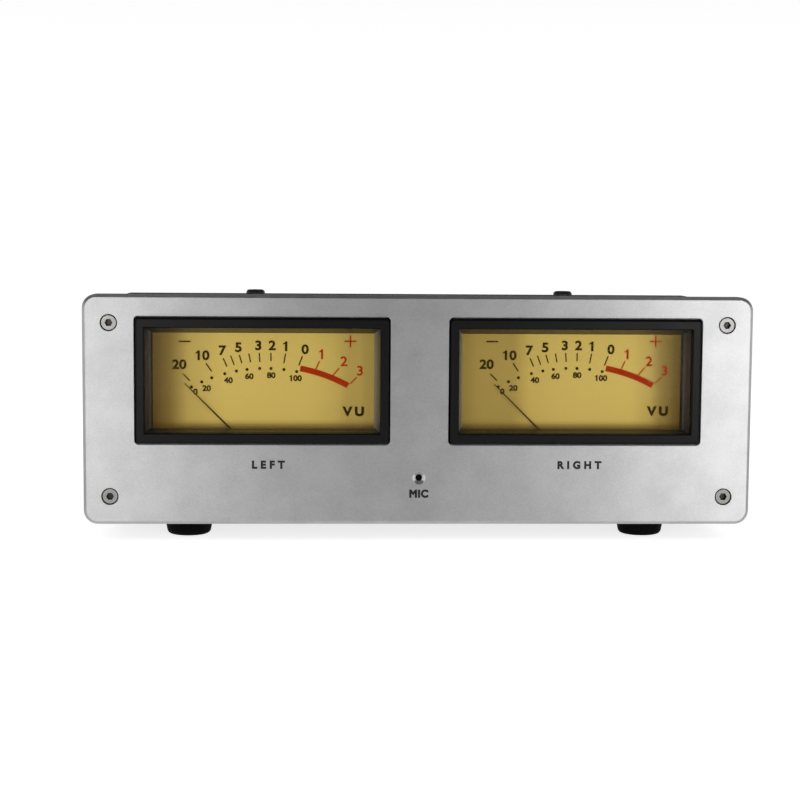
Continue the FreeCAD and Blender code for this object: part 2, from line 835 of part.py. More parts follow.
def feet():
    """Turned rubber feet with a recess for the screw head."""
    master = turned("foot", [("0", "foot_recess_radius"), ("0", "foot_radius - foot_taper"),
                             ("body_bottom_z", "foot_radius"), ("body_bottom_z", "clearance_hole"),
                             ("foot_recess_depth", "clearance_hole"),
                             ("foot_recess_depth", "foot_recess_radius")], along="z")

    def outer_rim(edge):
        return lies_at("Z", "0")(edge) and at(edge.BoundBox.XMax, "foot_radius - foot_taper")
    dress(master, "Fillet", "foot_edge", outer_rim)
    return copies("feet", master, foot_spots("0"))


def foot_screws():
    master = pan_screw("foot_screw", "floor_z + nut_height - foot_recess_depth")
    return copies("foot_screws", master, foot_spots("foot_recess_depth"), HEAD_DOWN)


def press_nuts():
    """Thin hex nuts: four behind the front wall for the panel screws, four on the floor for the feet."""
    small = hex_nut("small_press_nut", "panel_nut_flats", "nut_height", "panel_thread_radius + thread_gap")
    large = hex_nut("press_nut", "nut_flats", "nut_height", "thread_hole")
    spots = [(u, "front_y + wall_back", "panel_mid_z + " + v)
             for u, v in mirrored_corners("panel_screw_x", "panel_screw_z")]
    pieces = [copy("panel_nut", small, spot, HEAD_BACK) for spot in spots]
    pieces += [copy("foot_nut", large, spot) for spot in foot_spots("floor_z")]
    return group("press_nuts", *pieces)


# ---------------------------------------------------------------- meters

def meter_bezel(side, x):
    """Black frame that stands proud of the panel, on a flange clamped behind it."""
    owner = body(side + "_bezel", x, "front_y", "bezel_mid_z")
    pad(owner, rectangle(sketch(owner, "XZ", "-bezel_proud"), "bezel_width", "bezel_height"),
        "bezel_proud + flange_front")
    dress(owner, "Fillet", "bezel_corner",
          runs_along("Y", *mirrored_corners("bezel_width / 2", "bezel_height / 2")))
    dress(owner, "Chamfer", "bezel_edge", lies_at("Y", "-bezel_proud"))
    flange = rectangle(sketch(owner, "XZ", "flange_front"), "flange_width", "flange_top - flange_bottom",
                       "0", "(flange_top + flange_bottom) / 2")
    pad(owner, flange, "flange_thickness")
    window = rectangle(sketch(owner, "XZ", "-bezel_proud"), "window_width", "window_height")
    pocket(owner, window, "bezel_proud + panel_thickness")
    dress(owner, "Chamfer", "window_edge",
          rim_within("-bezel_proud", "window_width / 2 + window_edge", "window_height / 2 + window_edge"))
    pane_seat = rectangle(sketch(owner, "XZ", "pane_front"), "pane_hole_width", "pane_hole_height")
    pocket(owner, pane_seat, "panel_thickness - pane_front")
    return owner


def meter_window(side, x):
    owner = body(side + "_window", x, "front_y", "bezel_mid_z")
    pad(owner, rectangle(sketch(owner, "XZ", "pane_front"), "pane_width", "pane_height"),
        "pane_thickness")
    return owner


def dial_frame(side, x):
    """Tapered frame between pane and dial, with a slot in its lower wall for the needle."""
    owner = body(side + "_dial_frame", x, "front_y", "bezel_mid_z")
    pad(owner, rectangle(sketch(owner, "XZ", "pane_back"), "pane_width", "pane_height"),
        "dial_depth - pane_back")
    funnel = owner.newObject("PartDesign::SubtractiveLoft", side + "_dial_funnel")
    funnel.Profile = rectangle(sketch(owner, "XZ", "pane_back"), "window_width", "window_height")
    funnel.Sections = [rectangle(sketch(owner, "XZ", "dial_depth"), "view_width", "view_height",
                                 "0", "view_rise")]
    slot = rectangle(sketch(owner, "XZ", "slot_depth"), "view_width", "pane_height / 2",
                     "0", "-pane_height / 2")
    pocket(owner, slot, "dial_depth - slot_depth")
    return owner


def dial_plate(side, x):
    owner = body(side + "_dial_plate", x, "front_y", "bezel_mid_z")
    plate = rectangle(sketch(owner, "XZ", "dial_depth"), "dial_width", "dial_top - dial_bottom",
                      "0", "(dial_top + dial_bottom) / 2")
    pad(owner, plate, "dial_thickness")
    return owner


def meter_case(side, x):
    """Open-fronted box behind the panel, with ledges for the dial and posts for the movement."""
    owner = body(side + "_meter_case", x, "front_y", "bezel_mid_z")
    middle_height = "(case_top + case_bottom) / 2"
    pad(owner, rectangle(sketch(owner, "XZ", "panel_thickness"), "case_width",
                         "case_top - case_bottom", "0", middle_height), "case_depth")
    cavity = rectangle(sketch(owner, "XZ", "panel_thickness"), "case_width - 2 * case_wall",
                       "case_top - case_bottom - 2 * case_wall", "0", middle_height)
    pocket(owner, cavity, "case_depth - case_wall")
    ledges = sketch(owner, "XZ", "diffuser_back")
    for sign in SIDES.values():
        corner_x = sign + " * (case_width / 2 - case_wall / 2 - ledge / 2)"
        rectangle(ledges, "ledge + case_wall", "ledge + case_wall", corner_x,
                  "case_top - case_wall / 2 - ledge / 2")
        rectangle(ledges, "ledge + case_wall", "ledge", corner_x, "dial_bottom + ledge / 2")
    pad(owner, ledges, "case_floor - diffuser_back + case_wall / 2")
    posts = sketch(owner, "XZ", "frame_back")
    for sign in SIDES.values():
        circle(posts, "post_radius", sign + " * post_x", "-pivot_drop")
    pad(owner, posts, "case_floor - frame_back + case_wall / 2")
    holes = sketch(owner, "XZ", "case_floor")
    for sign in SIDES.values():
        circle(holes, "terminal_radius + small_gap", sign + " * terminal_x", "-terminal_drop")
    pocket(owner, holes, "case_wall")
    return owner


def for_each_meter(name, make):
    """The same pieces in both meters, kept as separate solids under one name."""
    pieces = []
    for sign in SIDES.values():
        pieces += make(sign + " * meter_x")
    return group(name, *pieces)


def diffusers(x):
    """Translucent sheet between the lamps and the dial."""
    return [box("diffuser", middle(x, "dial_width"), ("front_y + dial_back", "diffuser_thickness"),
                ("bezel_mid_z + dial_bottom", "dial_top - dial_bottom"))]


def lamp_boards(x):
    return [box("lamp_board", middle(x, "lamp_board_length"),
                ("front_y + case_floor - lamp_board_thickness", "lamp_board_thickness"),
                middle("bezel_mid_z", "lamp_board_height"))]


def lamps(x):
    """Three round-nosed lamps on each board, pointing at the diffuser."""
    foot = "front_y + case_floor - lamp_board_thickness - lamp_length"
    pieces = []
    for step in (-1, 0, 1):
        spot = ("%s + %d * lamp_spacing" % (x, step), foot, "bezel_mid_z")
        pieces.append(fuse("lamp", rod("lamp_barrel", "lamp_radius", "lamp_length", spot),
                           ball("lamp_nose", "lamp_radius", spot)))
    return pieces


def terminals(x):
    """Collared studs through the back of the case."""
    return [turned("terminal", [("case_floor - case_wall", "0"),
                                ("case_floor - case_wall", "terminal_radius"),
                                ("case_back", "terminal_radius"), ("case_back", "terminal_collar"),
                                ("case_back + sheet", "terminal_collar"),
                                ("case_back + sheet", "terminal_radius"),
                                ("case_floor + terminal_length", "terminal_radius"),
                                ("case_floor + terminal_length", "0")],
                   spot=(x + sign + " * terminal_x", "front_y", "bezel_mid_z - terminal_drop"))
            for sign in ("- 1", "+ 1")]


# ---------------------------------------------------------------- moving-coil movement

def movement_body(name, x, turn=Rotation()):
    """A body whose own Y axis is the needle's axis."""
    return body(name, x, "front_y", "pivot_z", turn)


def leaning_body(name, x):
    """A body that leans with the needle at rest."""
    owner = movement_body(name, x, Rotation(Vector(0, -1, 0), number("rest_angle")))
    owner.setExpression("Placement.Rotation.Angle", formula("rest_angle"))
    return owner


def needle(side, x):
    """Thin tapered pointer on a hub, with a balance weight on its tail."""
    owner = leaning_body(side + "_needle", x)
    blade = outline(sketch(owner, "XZ", "needle_depth"), [
        ("-needle_root / 2", "0"), ("needle_root / 2", "0"),
        ("needle_tip / 2", "needle_length"), ("-needle_tip / 2", "needle_length")])
    pad(owner, blade, "needle_thickness")
    pad(owner, circle(sketch(owner, "XZ", "needle_depth"), "hub_radius"), "needle_thickness")
    tail = rectangle(sketch(owner, "XZ", "needle_depth"), "needle_root", "tail_length",
                     "0", "-tail_length / 2")
    pad(owner, tail, "needle_thickness")
    weight = rectangle(sketch(owner, "XZ", "needle_depth"), "weight_width", "weight_height",
                       "0", "-tail_length")
    pad(owner, weight, "needle_thickness")
    hole = circle(sketch(owner, "XZ", "needle_depth"), "pivot_radius + small_gap / 2")
    pocket(owner, hole, "needle_thickness")
    return owner


def moving_coil(side, x):
    """Rectangular coil around the core, its plane square to the needle."""
    owner = leaning_body(side + "_moving_coil", x)
    loop = sketch(owner, "XY", "-coil_height / 2")
    rectangle(loop, "2 * coil_reach", "coil_length", "0", "coil_depth + coil_length / 2")
    rectangle(loop, "2 * coil_reach - 2 * coil_wire", "coil_length - 2 * coil_wire",
              "0", "coil_depth + coil_length / 2")
    pad(owner, loop, "coil_height")
    dress(owner, "Fillet", "coil_wire / 2",
          runs_along("Z", ("coil_reach", "coil_depth"), ("-coil_reach", "coil_depth"),
                     ("coil_reach", "coil_back"), ("-coil_reach", "coil_back")))
    return owner


def needle_pivots(side, x):
    """Two pointed pins, one on each end of the coil, that run in the jewels."""
    spot = (x, "front_y", "pivot_z")
    front_tip = "bridge_back + thread_gap - jewel_depth"
    rear_tip = "frame_depth - thread_gap + jewel_depth"
    front = turned(side + "_front_pivot", [
        (front_tip, "0"), (front_tip + " + pivot_radius", "pivot_radius"),
        ("coil_depth", "pivot_radius"), ("coil_depth", "0")], spot=spot)
    rear = turned(side + "_rear_pivot", [
        ("coil_back", "0"), ("coil_back", "pivot_radius"),
        (rear_tip + " - pivot_radius", "pivot_radius"), (rear_tip, "0")], spot=spot)
    return group(side + "_needle_pivots", front, rear)


def movement_frame(side, x):
    """Rear plate with posts for the front bridge and two arms that hold the core in the yoke."""
    owner = movement_body(side + "_movement_frame", x)
    plate = rectangle(sketch(owner, "XZ", "frame_depth"), "bridge_length", "frame_height")
    pad(owner, plate, "frame_thickness")
    posts = sketch(owner, "XZ", "bridge_back")
    tips = sketch(owner, "XZ", "bridge_depth")
    arms = sketch(owner, "XZ", "core_front + core_play")
    for sign in SIDES.values():
        circle(posts, "post_radius", sign + " * post_x")
        circle(tips, "post_tip", sign + " * post_x")
        rectangle(arms, "arm_width", "yoke_seat - core_radius", "0",
                  sign + " * (yoke_seat + core_radius) / 2")
    pad(owner, posts, "frame_depth - bridge_back + frame_thickness / 2")
    pad(owner, tips, "bridge_thickness + post_tip")
    pad(owner, arms, "frame_depth - core_front - core_play + frame_thickness / 2")
    hole = circle(sketch(owner, "XZ", "frame_depth"), "jewel_radius + small_gap")
    pocket(owner, hole, "frame_thickness")
    return owner


def yoke_rings(x):
    owner = movement_body("yoke_ring", x)
    ring = circle(sketch(owner, "XZ", "yoke_depth"), "yoke_outer")
    circle(ring, "yoke_inner")
    pad(owner, ring, "frame_depth - yoke_depth")
    return [owner]


def core_magnets(x):
    return [rod("core_magnet", "core_radius", "coil_length - 2 * coil_wire - 2 * core_play",
                (x, "front_y + core_front", "pivot_z"))]


def front_bridges(x):
    """Bar across the front of the movement that carries the front jewel."""
    owner = movement_body("front_bridge", x)
    bar = rectangle(sketch(owner, "XZ", "bridge_depth"), "bridge_length", "bridge_height")
    circle(bar, "jewel_radius + small_gap")
    for sign in SIDES.values():
        circle(bar, "post_tip + small_gap", sign + " * post_x")
    pad(owner, bar, "bridge_thickness")
    dress(owner, "Fillet", "bridge_corner",
          runs_along("Y", *mirrored_corners("bridge_length / 2", "bridge_height / 2")))
    return [owner]


def jewel_screws(x):
    """Screws with a blind jewelled bore that the needle's pivots run in."""
    spot = (x, "front_y", "pivot_z")
    front_mouth, rear_mouth = "bridge_back + thread_gap", "frame_depth - thread_gap"
    front_head, rear_head = "bridge_depth - jewel_proud", "frame_back + jewel_proud"
    front = turned("front_jewel", [
        (front_head, "0"), (front_head, "jewel_radius"), (front_mouth, "jewel_radius"),
        (front_mouth, "jewel_bore"), (front_mouth + " - jewel_depth", "jewel_bore"),
        (front_mouth + " - jewel_depth", "0")], spot=spot)
    rear = turned("rear_jewel", [
        (rear_mouth + " + jewel_depth", "0"), (rear_mouth + " + jewel_depth", "jewel_bore"),
        (rear_mouth, "jewel_bore"), (rear_mouth, "jewel_radius"),
        (rear_head, "jewel_radius"), (rear_head, "0")], spot=spot)
    return [front, rear]


def spiral_face(inner, pitch, strip, half_turns):
    """A flat strip wound outward in half circles, in the XZ plane."""
    def arc(radius, centre, upper):
        start, end = Vector(centre + radius, 0, 0), Vector(centre - radius, 0, 0)
        top = Vector(centre, 0, radius if upper else -radius)
        return Part.Arc(start, top, end).toShape()
    edges = []
    for turn in range(half_turns):
        radius = inner + turn * pitch / 2
        centre = 0 if turn % 2 == 0 else pitch / 2
        for side in (1, -1):
            edges.append(arc(radius + side * strip / 2, centre, turn % 2 == 0))
    first, last = inner, inner + (half_turns - 1) * pitch / 2
    ends = [(first, 0, 1), (last, 0 if half_turns % 2 else pitch / 2, -1 if half_turns % 2 else 1)]
    for radius, centre, way in ends:
        near, far = centre + way * (radius - strip / 2), centre + way * (radius + strip / 2)
        edges.append(Part.makeLine(Vector(near, 0, 0), Vector(far, 0, 0)))
    return Part.Face(Part.Wire(Part.__sortEdges__(edges)))


def hairsprings(x):
    """Two flat spirals that bring the needle back to rest."""
    face = spiral_face(number("spring_inner"), number("spring_pitch"), number("spring_strip"),
                       half_turns=7)
    pieces = []
    for depth in ("bridge_back + spring_play", "frame_depth - spring_play - spring_width"):
        spring = doc.addObject("Part::Feature", "hairspring")
        spring.Shape = face.extrude(Vector(0, number("spring_width"), 0))
        pieces.append(place(spring, x, "front_y + " + depth, "pivot_z"))
    return pieces


def needle_stops(x):
    """Pins on the dial plate that the needle rests against at each end of its swing."""
    pieces = []
    for way, angle in (("-", "rest_angle"), ("+", "full_sweep - rest_angle")):
        lean = "(%s + stop_offset)" % angle
        spot = ("%s %s stop_distance * sin(%s)" % (x, way, lean),
                "front_y + needle_depth - needle_thickness",
                "pivot_z + stop_distance * cos(%s)" % lean)
        pieces.append(rod("needle_stop", "stop_radius", "dial_depth - needle_depth + needle_thickness",
                          spot))
    return pieces


# ---------------------------------------------------------------- microphone and circuit board

def mic_capsule():
    """Electret capsule in the pocket behind the panel's hole."""
    return rod("mic_capsule", "mic_radius", "mic_length",
               ("0", "front_y + mic_skin + mic_gap", "mic_z"))


def mic_grommet():
    """Rubber sleeve that holds the capsule in the front wall."""
    spot = ("0", "front_y + panel_thickness", "mic_z")
    return cut("mic_grommet", rod("grommet_outside", "grommet_radius", "grommet_length", spot),
               rod("grommet_bore", "mic_radius + thread_gap", "grommet_length", spot))


def board_hole_spots():
    """Depths and places of the four standoffs, for the floor and the board alike."""
    depths = ("board_start + board_hole_inset", "board_start + board_depth - board_hole_inset")
    return [(sign + " * (board_width / 2 - board_hole_inset)", depth)
            for sign in SIDES.values() for depth in depths]


def main_board():
    owner = body("main_board", "0", "front_y", "0")
    board = rectangle(sketch(owner, "XY", "board_z"), "board_width", "board_depth",
                      "0", "board_start + board_depth / 2")
    for x, depth in board_hole_spots():
        circle(board, "clearance_hole", x, depth)
    pad(owner, board, "board_thickness")
    return owner


def board_standoffs():
    master = hex_nut("standoff", "standoff_flats", "standoff_height", "thread_hole")
    return copies("board_standoffs", master, [(x, "front_y + " + depth, "floor_z")
                                              for x, depth in board_hole_spots()])


def board_screws():
    master = pan_screw("board_screw", "board_thickness + short_thread")
    return copies("board_screws", master, [(x, "front_y + " + depth, "board_top_z")
                                           for x, depth in board_hole_spots()])


def chip(name, x, depth):
    """A packaged amplifier with bevelled top edges."""
    owner = body(name, x, "front_y + " + depth, "board_top_z")
    pad(owner, rectangle(sketch(owner, "XY"), "chip_length", "chip_width"), "chip_height")
    dress(owner, "Chamfer", "chip_edge", lies_at("Z", "chip_height"))
    return owner


def board_chips():
    depth = "board_start + board_depth / 2"
    return group("board_chips", *[chip("chip", "%d * chip_spacing" % step, depth) for step in (-1, 0, 1)])


def board_capacitors():
    """Upright electrolytic cans with a rounded rim."""
    master = turned("capacitor", [("0", "0"), ("0", "capacitor_radius"),
                                  ("capacitor_height", "capacitor_radius"), ("capacitor_height", "0")],
                    along="z")
    dress(master, "Fillet", "capacitor_edge", lies_at("Z", "capacitor_height"))
    spots = [("%s * (capacitor_x + %d * capacitor_spacing)" % (sign, step),
              "front_y + board_start + board_depth / 2", "board_top_z")
             for sign in SIDES.values() for step in (0, 1)]
    return copies("board_capacitors", master, spots)


def board_headers():
    """Open-topped white plugs in a row along the front of the board."""
    owner = body("header")
    pad(owner, rectangle(sketch(owner, "XY"), "header_length", "header_width"), "header_height")
    hollow = rectangle(sketch(owner, "XY", "header_wall"), "header_length - 2 * header_wall",
                       "header_width - 2 * header_wall")
    pocket(owner, hollow, "header_height - header_wall")
    spots = [("%d * header_spacing" % step, "front_y + board_start + header_width", "board_top_z")
             for step in (-1, 0, 1)]
    return copies("board_headers", owner, spots)


# ---------------------------------------------------------------- rear sockets and controls

RCA_PLACES = {"left": "rca_x", "right": "rca_x + rca_spacing"}


def rear_spot(x):
    return x, "rear_y", "panel_mid_z"


def rca_shells():
    """Signal sockets: a plated shell the plug grips, a flange and a threaded shank."""
    shell_end = "rca_flange_thickness + rca_shell_length"
    bore = "rca_core_radius + small_gap"
    inside = "rca_shell_radius - rca_shell_wall"
    profile = [("-rca_thread_length", bore), ("-rca_thread_length", "rca_thread_radius"),
               ("0", "rca_thread_radius"), ("0", "rca_flange_radius"),
               ("rca_flange_thickness", "rca_flange_radius"),
               ("rca_flange_thickness", "rca_shell_radius"), (shell_end, "rca_shell_radius"),
               (shell_end, inside), ("rca_flange_thickness", inside), ("rca_flange_thickness", bore)]
    return group("rca_shells", *[turned("rca_shell", profile, spot=rear_spot(x))
                                 for x in RCA_PLACES.values()])


def rca_insulator(side):
    """Coloured core that fills the shell around the centre contact."""
    front = "rca_flange_thickness + rca_shell_length - rca_shell_wall"
    inside = "rca_shell_radius - rca_shell_wall - small_gap"
    hole = "rca_contact_radius + small_gap"
    profile = [("-rca_thread_length - rca_flange_thickness", hole),
               ("-rca_thread_length - rca_flange_thickness", "rca_core_radius"),
               ("rca_flange_thickness + small_gap", "rca_core_radius"),
               ("rca_flange_thickness + small_gap", inside), (front, inside), (front, hole)]
    return turned(side + "_rca_insulator", profile, spot=rear_spot(RCA_PLACES[side]))


def rca_contacts():
    front = "rca_flange_thickness + rca_shell_length - rca_shell_wall - thread_gap"
    back = "-rca_thread_length - 2 * rca_flange_thickness"
    profile = [(back, "0"), (back, "rca_contact_radius"), (front, "rca_contact_radius"),
               (front, "rca_contact_bore"), ("0", "rca_contact_bore"), ("0", "0")]
    return group("rca_contacts", *[turned("rca_contact", profile, spot=rear_spot(x))
                                   for x in RCA_PLACES.values()])


def socket_nut(name, flats, bore, x, inside):
    """A hex nut on a bush, inside or outside the rear panel."""
    owner = body(name, x, "rear_inner_y - large_nut_height" if inside else "rear_y", "panel_mid_z")
    profile = hexagon(sketch(owner, "XZ"), flats)
    circle(profile, "%s + small_gap" % bore)
    pad(owner, profile, "large_nut_height")
    return owner


def dc_jack_body():
    """Round power inlet with a blind socket."""
    profile = [("-dc_body_length", "0"), ("-dc_body_length", "dc_body_radius"),
               ("0", "dc_body_radius"), ("0", "dc_flange_radius"),
               ("dc_flange_thickness", "dc_flange_radius"), ("dc_flange_thickness", "dc_bore"),
               ("dc_flange_thickness - dc_socket_depth", "dc_bore"),
               ("dc_flange_thickness - dc_socket_depth", "dc_pin_radius + small_gap"),
               ("dc_flange_thickness - dc_socket_depth - dc_flange_thickness",
                "dc_pin_radius + small_gap"),
               ("dc_flange_thickness - dc_socket_depth - dc_flange_thickness", "0")]
    return turned("dc_jack_body", profile, spot=rear_spot("dc_x"))


def dc_jack_pin():
    foot = "-dc_socket_depth"
    tip = "dc_flange_thickness - dc_socket_depth + dc_pin_length"
    profile = [(foot, "0"), (foot, "dc_pin_radius"), (tip + " - dc_pin_radius / 2", "dc_pin_radius"),
               (tip, "dc_pin_radius / 2"), (tip, "0")]
    return turned("dc_jack_pin", profile, spot=rear_spot("dc_x"))


def power_switch_body():
    """Housing of the rocker switch, with a face that rests on the rear panel."""
    owner = body("power_switch_body", "power_x", "rear_y", "panel_mid_z")
    pad(owner, rectangle(sketch(owner, "XZ", "-switch_body_depth"), "switch_width", "switch_height"),
        "switch_body_depth")
    face = rectangle(sketch(owner, "XZ"), "switch_width + 2 * switch_flange",
                     "switch_height + 2 * switch_flange")
    pad(owner, face, "switch_face")
    dress(owner, "Chamfer", "switch_edge", lies_at("Y", "switch_face"))
    well = rectangle(sketch(owner, "XZ", "switch_wall - switch_body_depth"),
                     "switch_width - 2 * switch_wall", "switch_height - 2 * switch_wall")
    pocket(owner, well, "switch_body_depth - switch_wall + switch_face")
    return owner


def power_rocker():
    """A barrel with a valley in its face; it tips about its own axis, and rests at ON."""
    owner = body("power_rocker", "power_x", "rear_y - rocker_pivot", "panel_mid_z",
                 Rotation(Vector(1, 0, 0), number("rocker_slope")))
    owner.setExpression("Placement.Rotation.Angle", formula("rocker_slope"))
    width = "(switch_width - 2 * switch_wall - 2 * rocker_play)"
    pad(owner, circle(sketch(owner, "YZ", "-%s / 2" % width), "rocker_radius"), width)
    rise = "rocker_valley + rocker_radius * tan(rocker_slope)"
    valley = outline(sketch(owner, "YZ", "-%s / 2" % width), [
        ("rocker_valley", "0"), (rise, "rocker_radius"), ("2 * rocker_radius", "rocker_radius"),
        ("2 * rocker_radius", "-rocker_radius"), (rise, "-rocker_radius")])
    pocket(owner, valley, width)
    return owner


def mode_switch_body():
    """Toggle switch: a block behind the rear panel and a threaded bush through it."""
    owner = body("mode_switch_body", *rear_spot("mode_x"))
    pad(owner, rectangle(sketch(owner, "XZ", "-sheet - mode_body_depth"), "mode_body_width",
                         "mode_body_height"), "mode_body_depth")
    pad(owner, circle(sketch(owner, "XZ", "-sheet"), "mode_bush_radius"), "mode_bush_length")
    bore = circle(sketch(owner, "XZ", "mode_pivot - mode_bore"), "mode_bore")
    pocket(owner, bore, "mode_bush_length - sheet - mode_pivot + mode_bore")
    return owner


def add_ball(owner, radius, distance):
    """A ball on the body's Y axis."""
    sphere = owner.newObject("PartDesign::AdditiveSphere", owner.Name + "_ball")
    bind(sphere, Radius=radius)
    sphere.setExpression("Placement.Base.y", formula(distance))


def mode_switch_lever():
    """Flared lever with a round tip, on a ball that turns in the bush."""
    owner = turned("mode_switch_lever", [("0", "0"), ("0", "mode_lever_root"),
                                         ("mode_lever_length", "mode_lever_tip"),
                                         ("mode_lever_length", "0")],
                   spot=("mode_x", "rear_y + mode_pivot", "panel_mid_z"))
    add_ball(owner, "mode_ball", "0")
    add_ball(owner, "mode_lever_tip", "mode_lever_length")
    owner.Placement = Placement(owner.Placement.Base, Rotation(Vector(-1, 0, 0), number("mode_throw")))
    owner.setExpression("Placement.Rotation.Angle", formula("mode_throw"))
    return owner


def sensitivity_pot():
    """Rotary control: a round can behind the rear panel and a threaded bush through it."""
    owner = body("sensitivity_pot", *rear_spot("knob_x"))
    pad(owner, circle(sketch(owner, "XZ", "-sheet - pot_depth"), "pot_radius"), "pot_depth")
    pad(owner, circle(sketch(owner, "XZ", "-sheet"), "pot_bush_radius"), "pot_bush_length")
    bore = circle(sketch(owner, "XZ", "-sheet - pot_bore_depth"), "shaft_radius + shaft_play")
    pocket(owner, bore, "pot_bore_depth + pot_bush_length")
    return owner


def sensitivity_shaft():
    spot = ("knob_x", "rear_y - sheet - pot_bore_depth + shaft_play", "panel_mid_z")
    return rod("sensitivity_shaft", "shaft_radius",
               "sheet + pot_bore_depth - shaft_play + shaft_reach", spot)


def sensitivity_knob():
    """Knob with a gripped rim, hollow behind to clear the nut, and a pointer mark on its face."""
    face = "knob_standoff + knob_length"
    hub = "knob_standoff + knob_recess_depth"
    bore = "shaft_radius + small_gap"
    owner = turned("sensitivity_knob", [
        ("knob_standoff", "knob_recess_radius"), ("knob_standoff", "knob_radius"),
        (face, "knob_radius"), (face, "0"), ("shaft_reach + small_gap", "0"),
        ("shaft_reach + small_gap", bore), (hub, bore), (hub, "knob_recess_radius")],
        spot=rear_spot("knob_x"))

    def rim(edge):
        return lies_at("Y", face)(edge) and at(edge.BoundBox.XMax, "knob_radius")
    dress(owner, "Fillet", "knob_edge", rim)
    grip = circle(sketch(owner, "XZ", "knob_standoff + knob_recess_depth / 2"), "knob_grip_radius",
                  "knob_radius", "0")
    groove = pocket(owner, grip, "knob_length")
    doc.recompute()
    grips = owner.newObject("PartDesign::PolarPattern", "knob_grips")
    grips.Originals = [groove]
    grips.Axis = (grip, ["N_Axis"])
    grips.Angle = 360
    grips.Occurrences = KNOB_GRIPS
    owner.Tip = grips
    doc.recompute()
    mark = rectangle(sketch(owner, "XZ", face + " - knob_mark_depth"), "knob_mark_width",
                     "knob_mark_length", "0", "knob_mark_centre")
    pocket(owner, mark, "knob_mark_depth")
    return owner


def mounting_nuts():
    """The hex nuts that hold the sockets and controls to the rear panel."""
    nuts = [socket_nut("rca_nut", "rca_nut_flats", "rca_thread_radius", x, True)
            for x in RCA_PLACES.values()]
    nuts.append(socket_nut("dc_nut", "dc_nut_flats", "dc_body_radius", "dc_x", True))
    nuts.append(socket_nut("mode_nut", "mode_nut_flats", "mode_bush_radius", "mode_x", False))
    nuts.append(socket_nut("pot_nut", "pot_nut_flats", "pot_bush_radius", "knob_x", False))
    return group("mounting_nuts", *nuts)


# ---------------------------------------------------------------- internal leads

def lead(stops):
    """An insulated wire that runs squarely from each point to the next, with rounded corners."""
    pieces = [ball("lead_corner", "lead_radius", corner) for corner in stops[1:-1]]
    for start, end in zip(stops, stops[1:]):
        along = [index for index in range(3) if start[index] != end[index]][0]
        low, high = sorted((start, end), key=lambda stop: number(stop[along]))
        length = "(%s) - (%s)" % (high[along], low[along])
        pieces.append(rod("lead_run", "lead_radius", length, low, "xyz"[along]))
    return fuse("lead", *pieces)


def board_lead(tag, way, header, pin, lane):
    """A lead from a tag, up or down to a free height, and across and down into a header."""
    x, depth, z = tag
    lane_z = "board_top_z + header_height + lead_rise + %d * lead_pitch" % lane
    pin_x = "%d * header_spacing + %d * lead_pitch / 2" % (header, pin)
    turn_y = "front_y + %s %s lead_reach" % (depth, way)
    header_y = "front_y + board_start + header_width"
    return lead([(x, "front_y + " + depth, z), (x, turn_y, z), (x, turn_y, lane_z),
                 (x, header_y, lane_z), (pin_x, header_y, lane_z),
                 (pin_x, header_y, "board_top_z + header_wall")])


def internal_leads():
    """Leads from the meters, microphone, sockets and controls to the board."""
    leads = []
    for header in (-1, 1):
        for sign, pin in (("-", -3), ("+", 3)):
            tag = ("%d * meter_x %s terminal_x" % (header, sign), "case_floor + terminal_length",
                   "bezel_mid_z - terminal_drop")
            leads.append(board_lead(tag, "+", header, pin, 0))
    for sign, pin in (("-", -1), ("", 1)):
        tag = (sign + "mic_radius / 2", "mic_skin + mic_gap + mic_length", "mic_z")
        leads.append(board_lead(tag, "+", 0, pin, 0))
    rca_depth = "body_depth - rca_thread_length - 2 * rca_flange_thickness"
    jack_depth, switch_depth = "body_depth - dc_body_length", "body_depth - switch_body_depth"
    rear_leads = [("rca_x", rca_depth, 1, -1, 2),
                  ("rca_x + rca_spacing", rca_depth, 1, 1, 1),
                  ("dc_x + lead_pitch", jack_depth, -1, -1, 1),
                  ("power_x + lead_pitch", switch_depth, -1, 1, 2),
                  ("knob_x", "body_depth - sheet - pot_depth", 0, 3, 0),
                  ("mode_x", "body_depth - sheet - mode_body_depth", 0, -3, 1)]
    for x, depth, header, pin, lane in rear_leads:
        leads.append(board_lead((x, depth, "panel_mid_z"), "-", header, pin, lane))
    jack_x, switch_x = "dc_x - lead_pitch", "power_x - lead_pitch"
    link_y = "front_y + %s - 2 * lead_reach" % switch_depth
    leads.append(lead([(jack_x, "front_y + " + jack_depth, "panel_mid_z"), (jack_x, link_y, "panel_mid_z"),
                       (switch_x, link_y, "panel_mid_z"),
                       (switch_x, "front_y + " + switch_depth, "panel_mid_z")]))
    return group("internal_leads", *leads)


# ---------------------------------------------------------------- the whole assembly

parts = [
    front_panel(), panel_screws(), press_nuts(), chassis_tray(), rear_panel(), top_cover(),
    case_screws(), feet(), foot_screws(),
    mic_capsule(), mic_grommet(),
    main_board(), board_standoffs(), board_screws(), board_chips(), board_capacitors(),
    board_headers(), internal_leads(),
    rca_shells(), rca_insulator("left"), rca_insulator("right"), rca_contacts(),
    dc_jack_body(), dc_jack_pin(), power_switch_body(), power_rocker(),
    mode_switch_body(), mode_switch_lever(), sensitivity_pot(), sensitivity_shaft(),
    sensitivity_knob(), mounting_nuts(),
    for_each_meter("diffusers", diffusers), for_each_meter("lamp_boards", lamp_boards),
    for_each_meter("lamps", lamps), for_each_meter("meter_terminals", terminals),
    for_each_meter("yoke_rings", yoke_rings), for_each_meter("core_magnets", core_magnets),
    for_each_meter("front_bridges", front_bridges), for_each_meter("jewel_screws", jewel_screws),
    for_each_meter("hairsprings", hairsprings), for_each_meter("needle_stops", needle_stops),
]
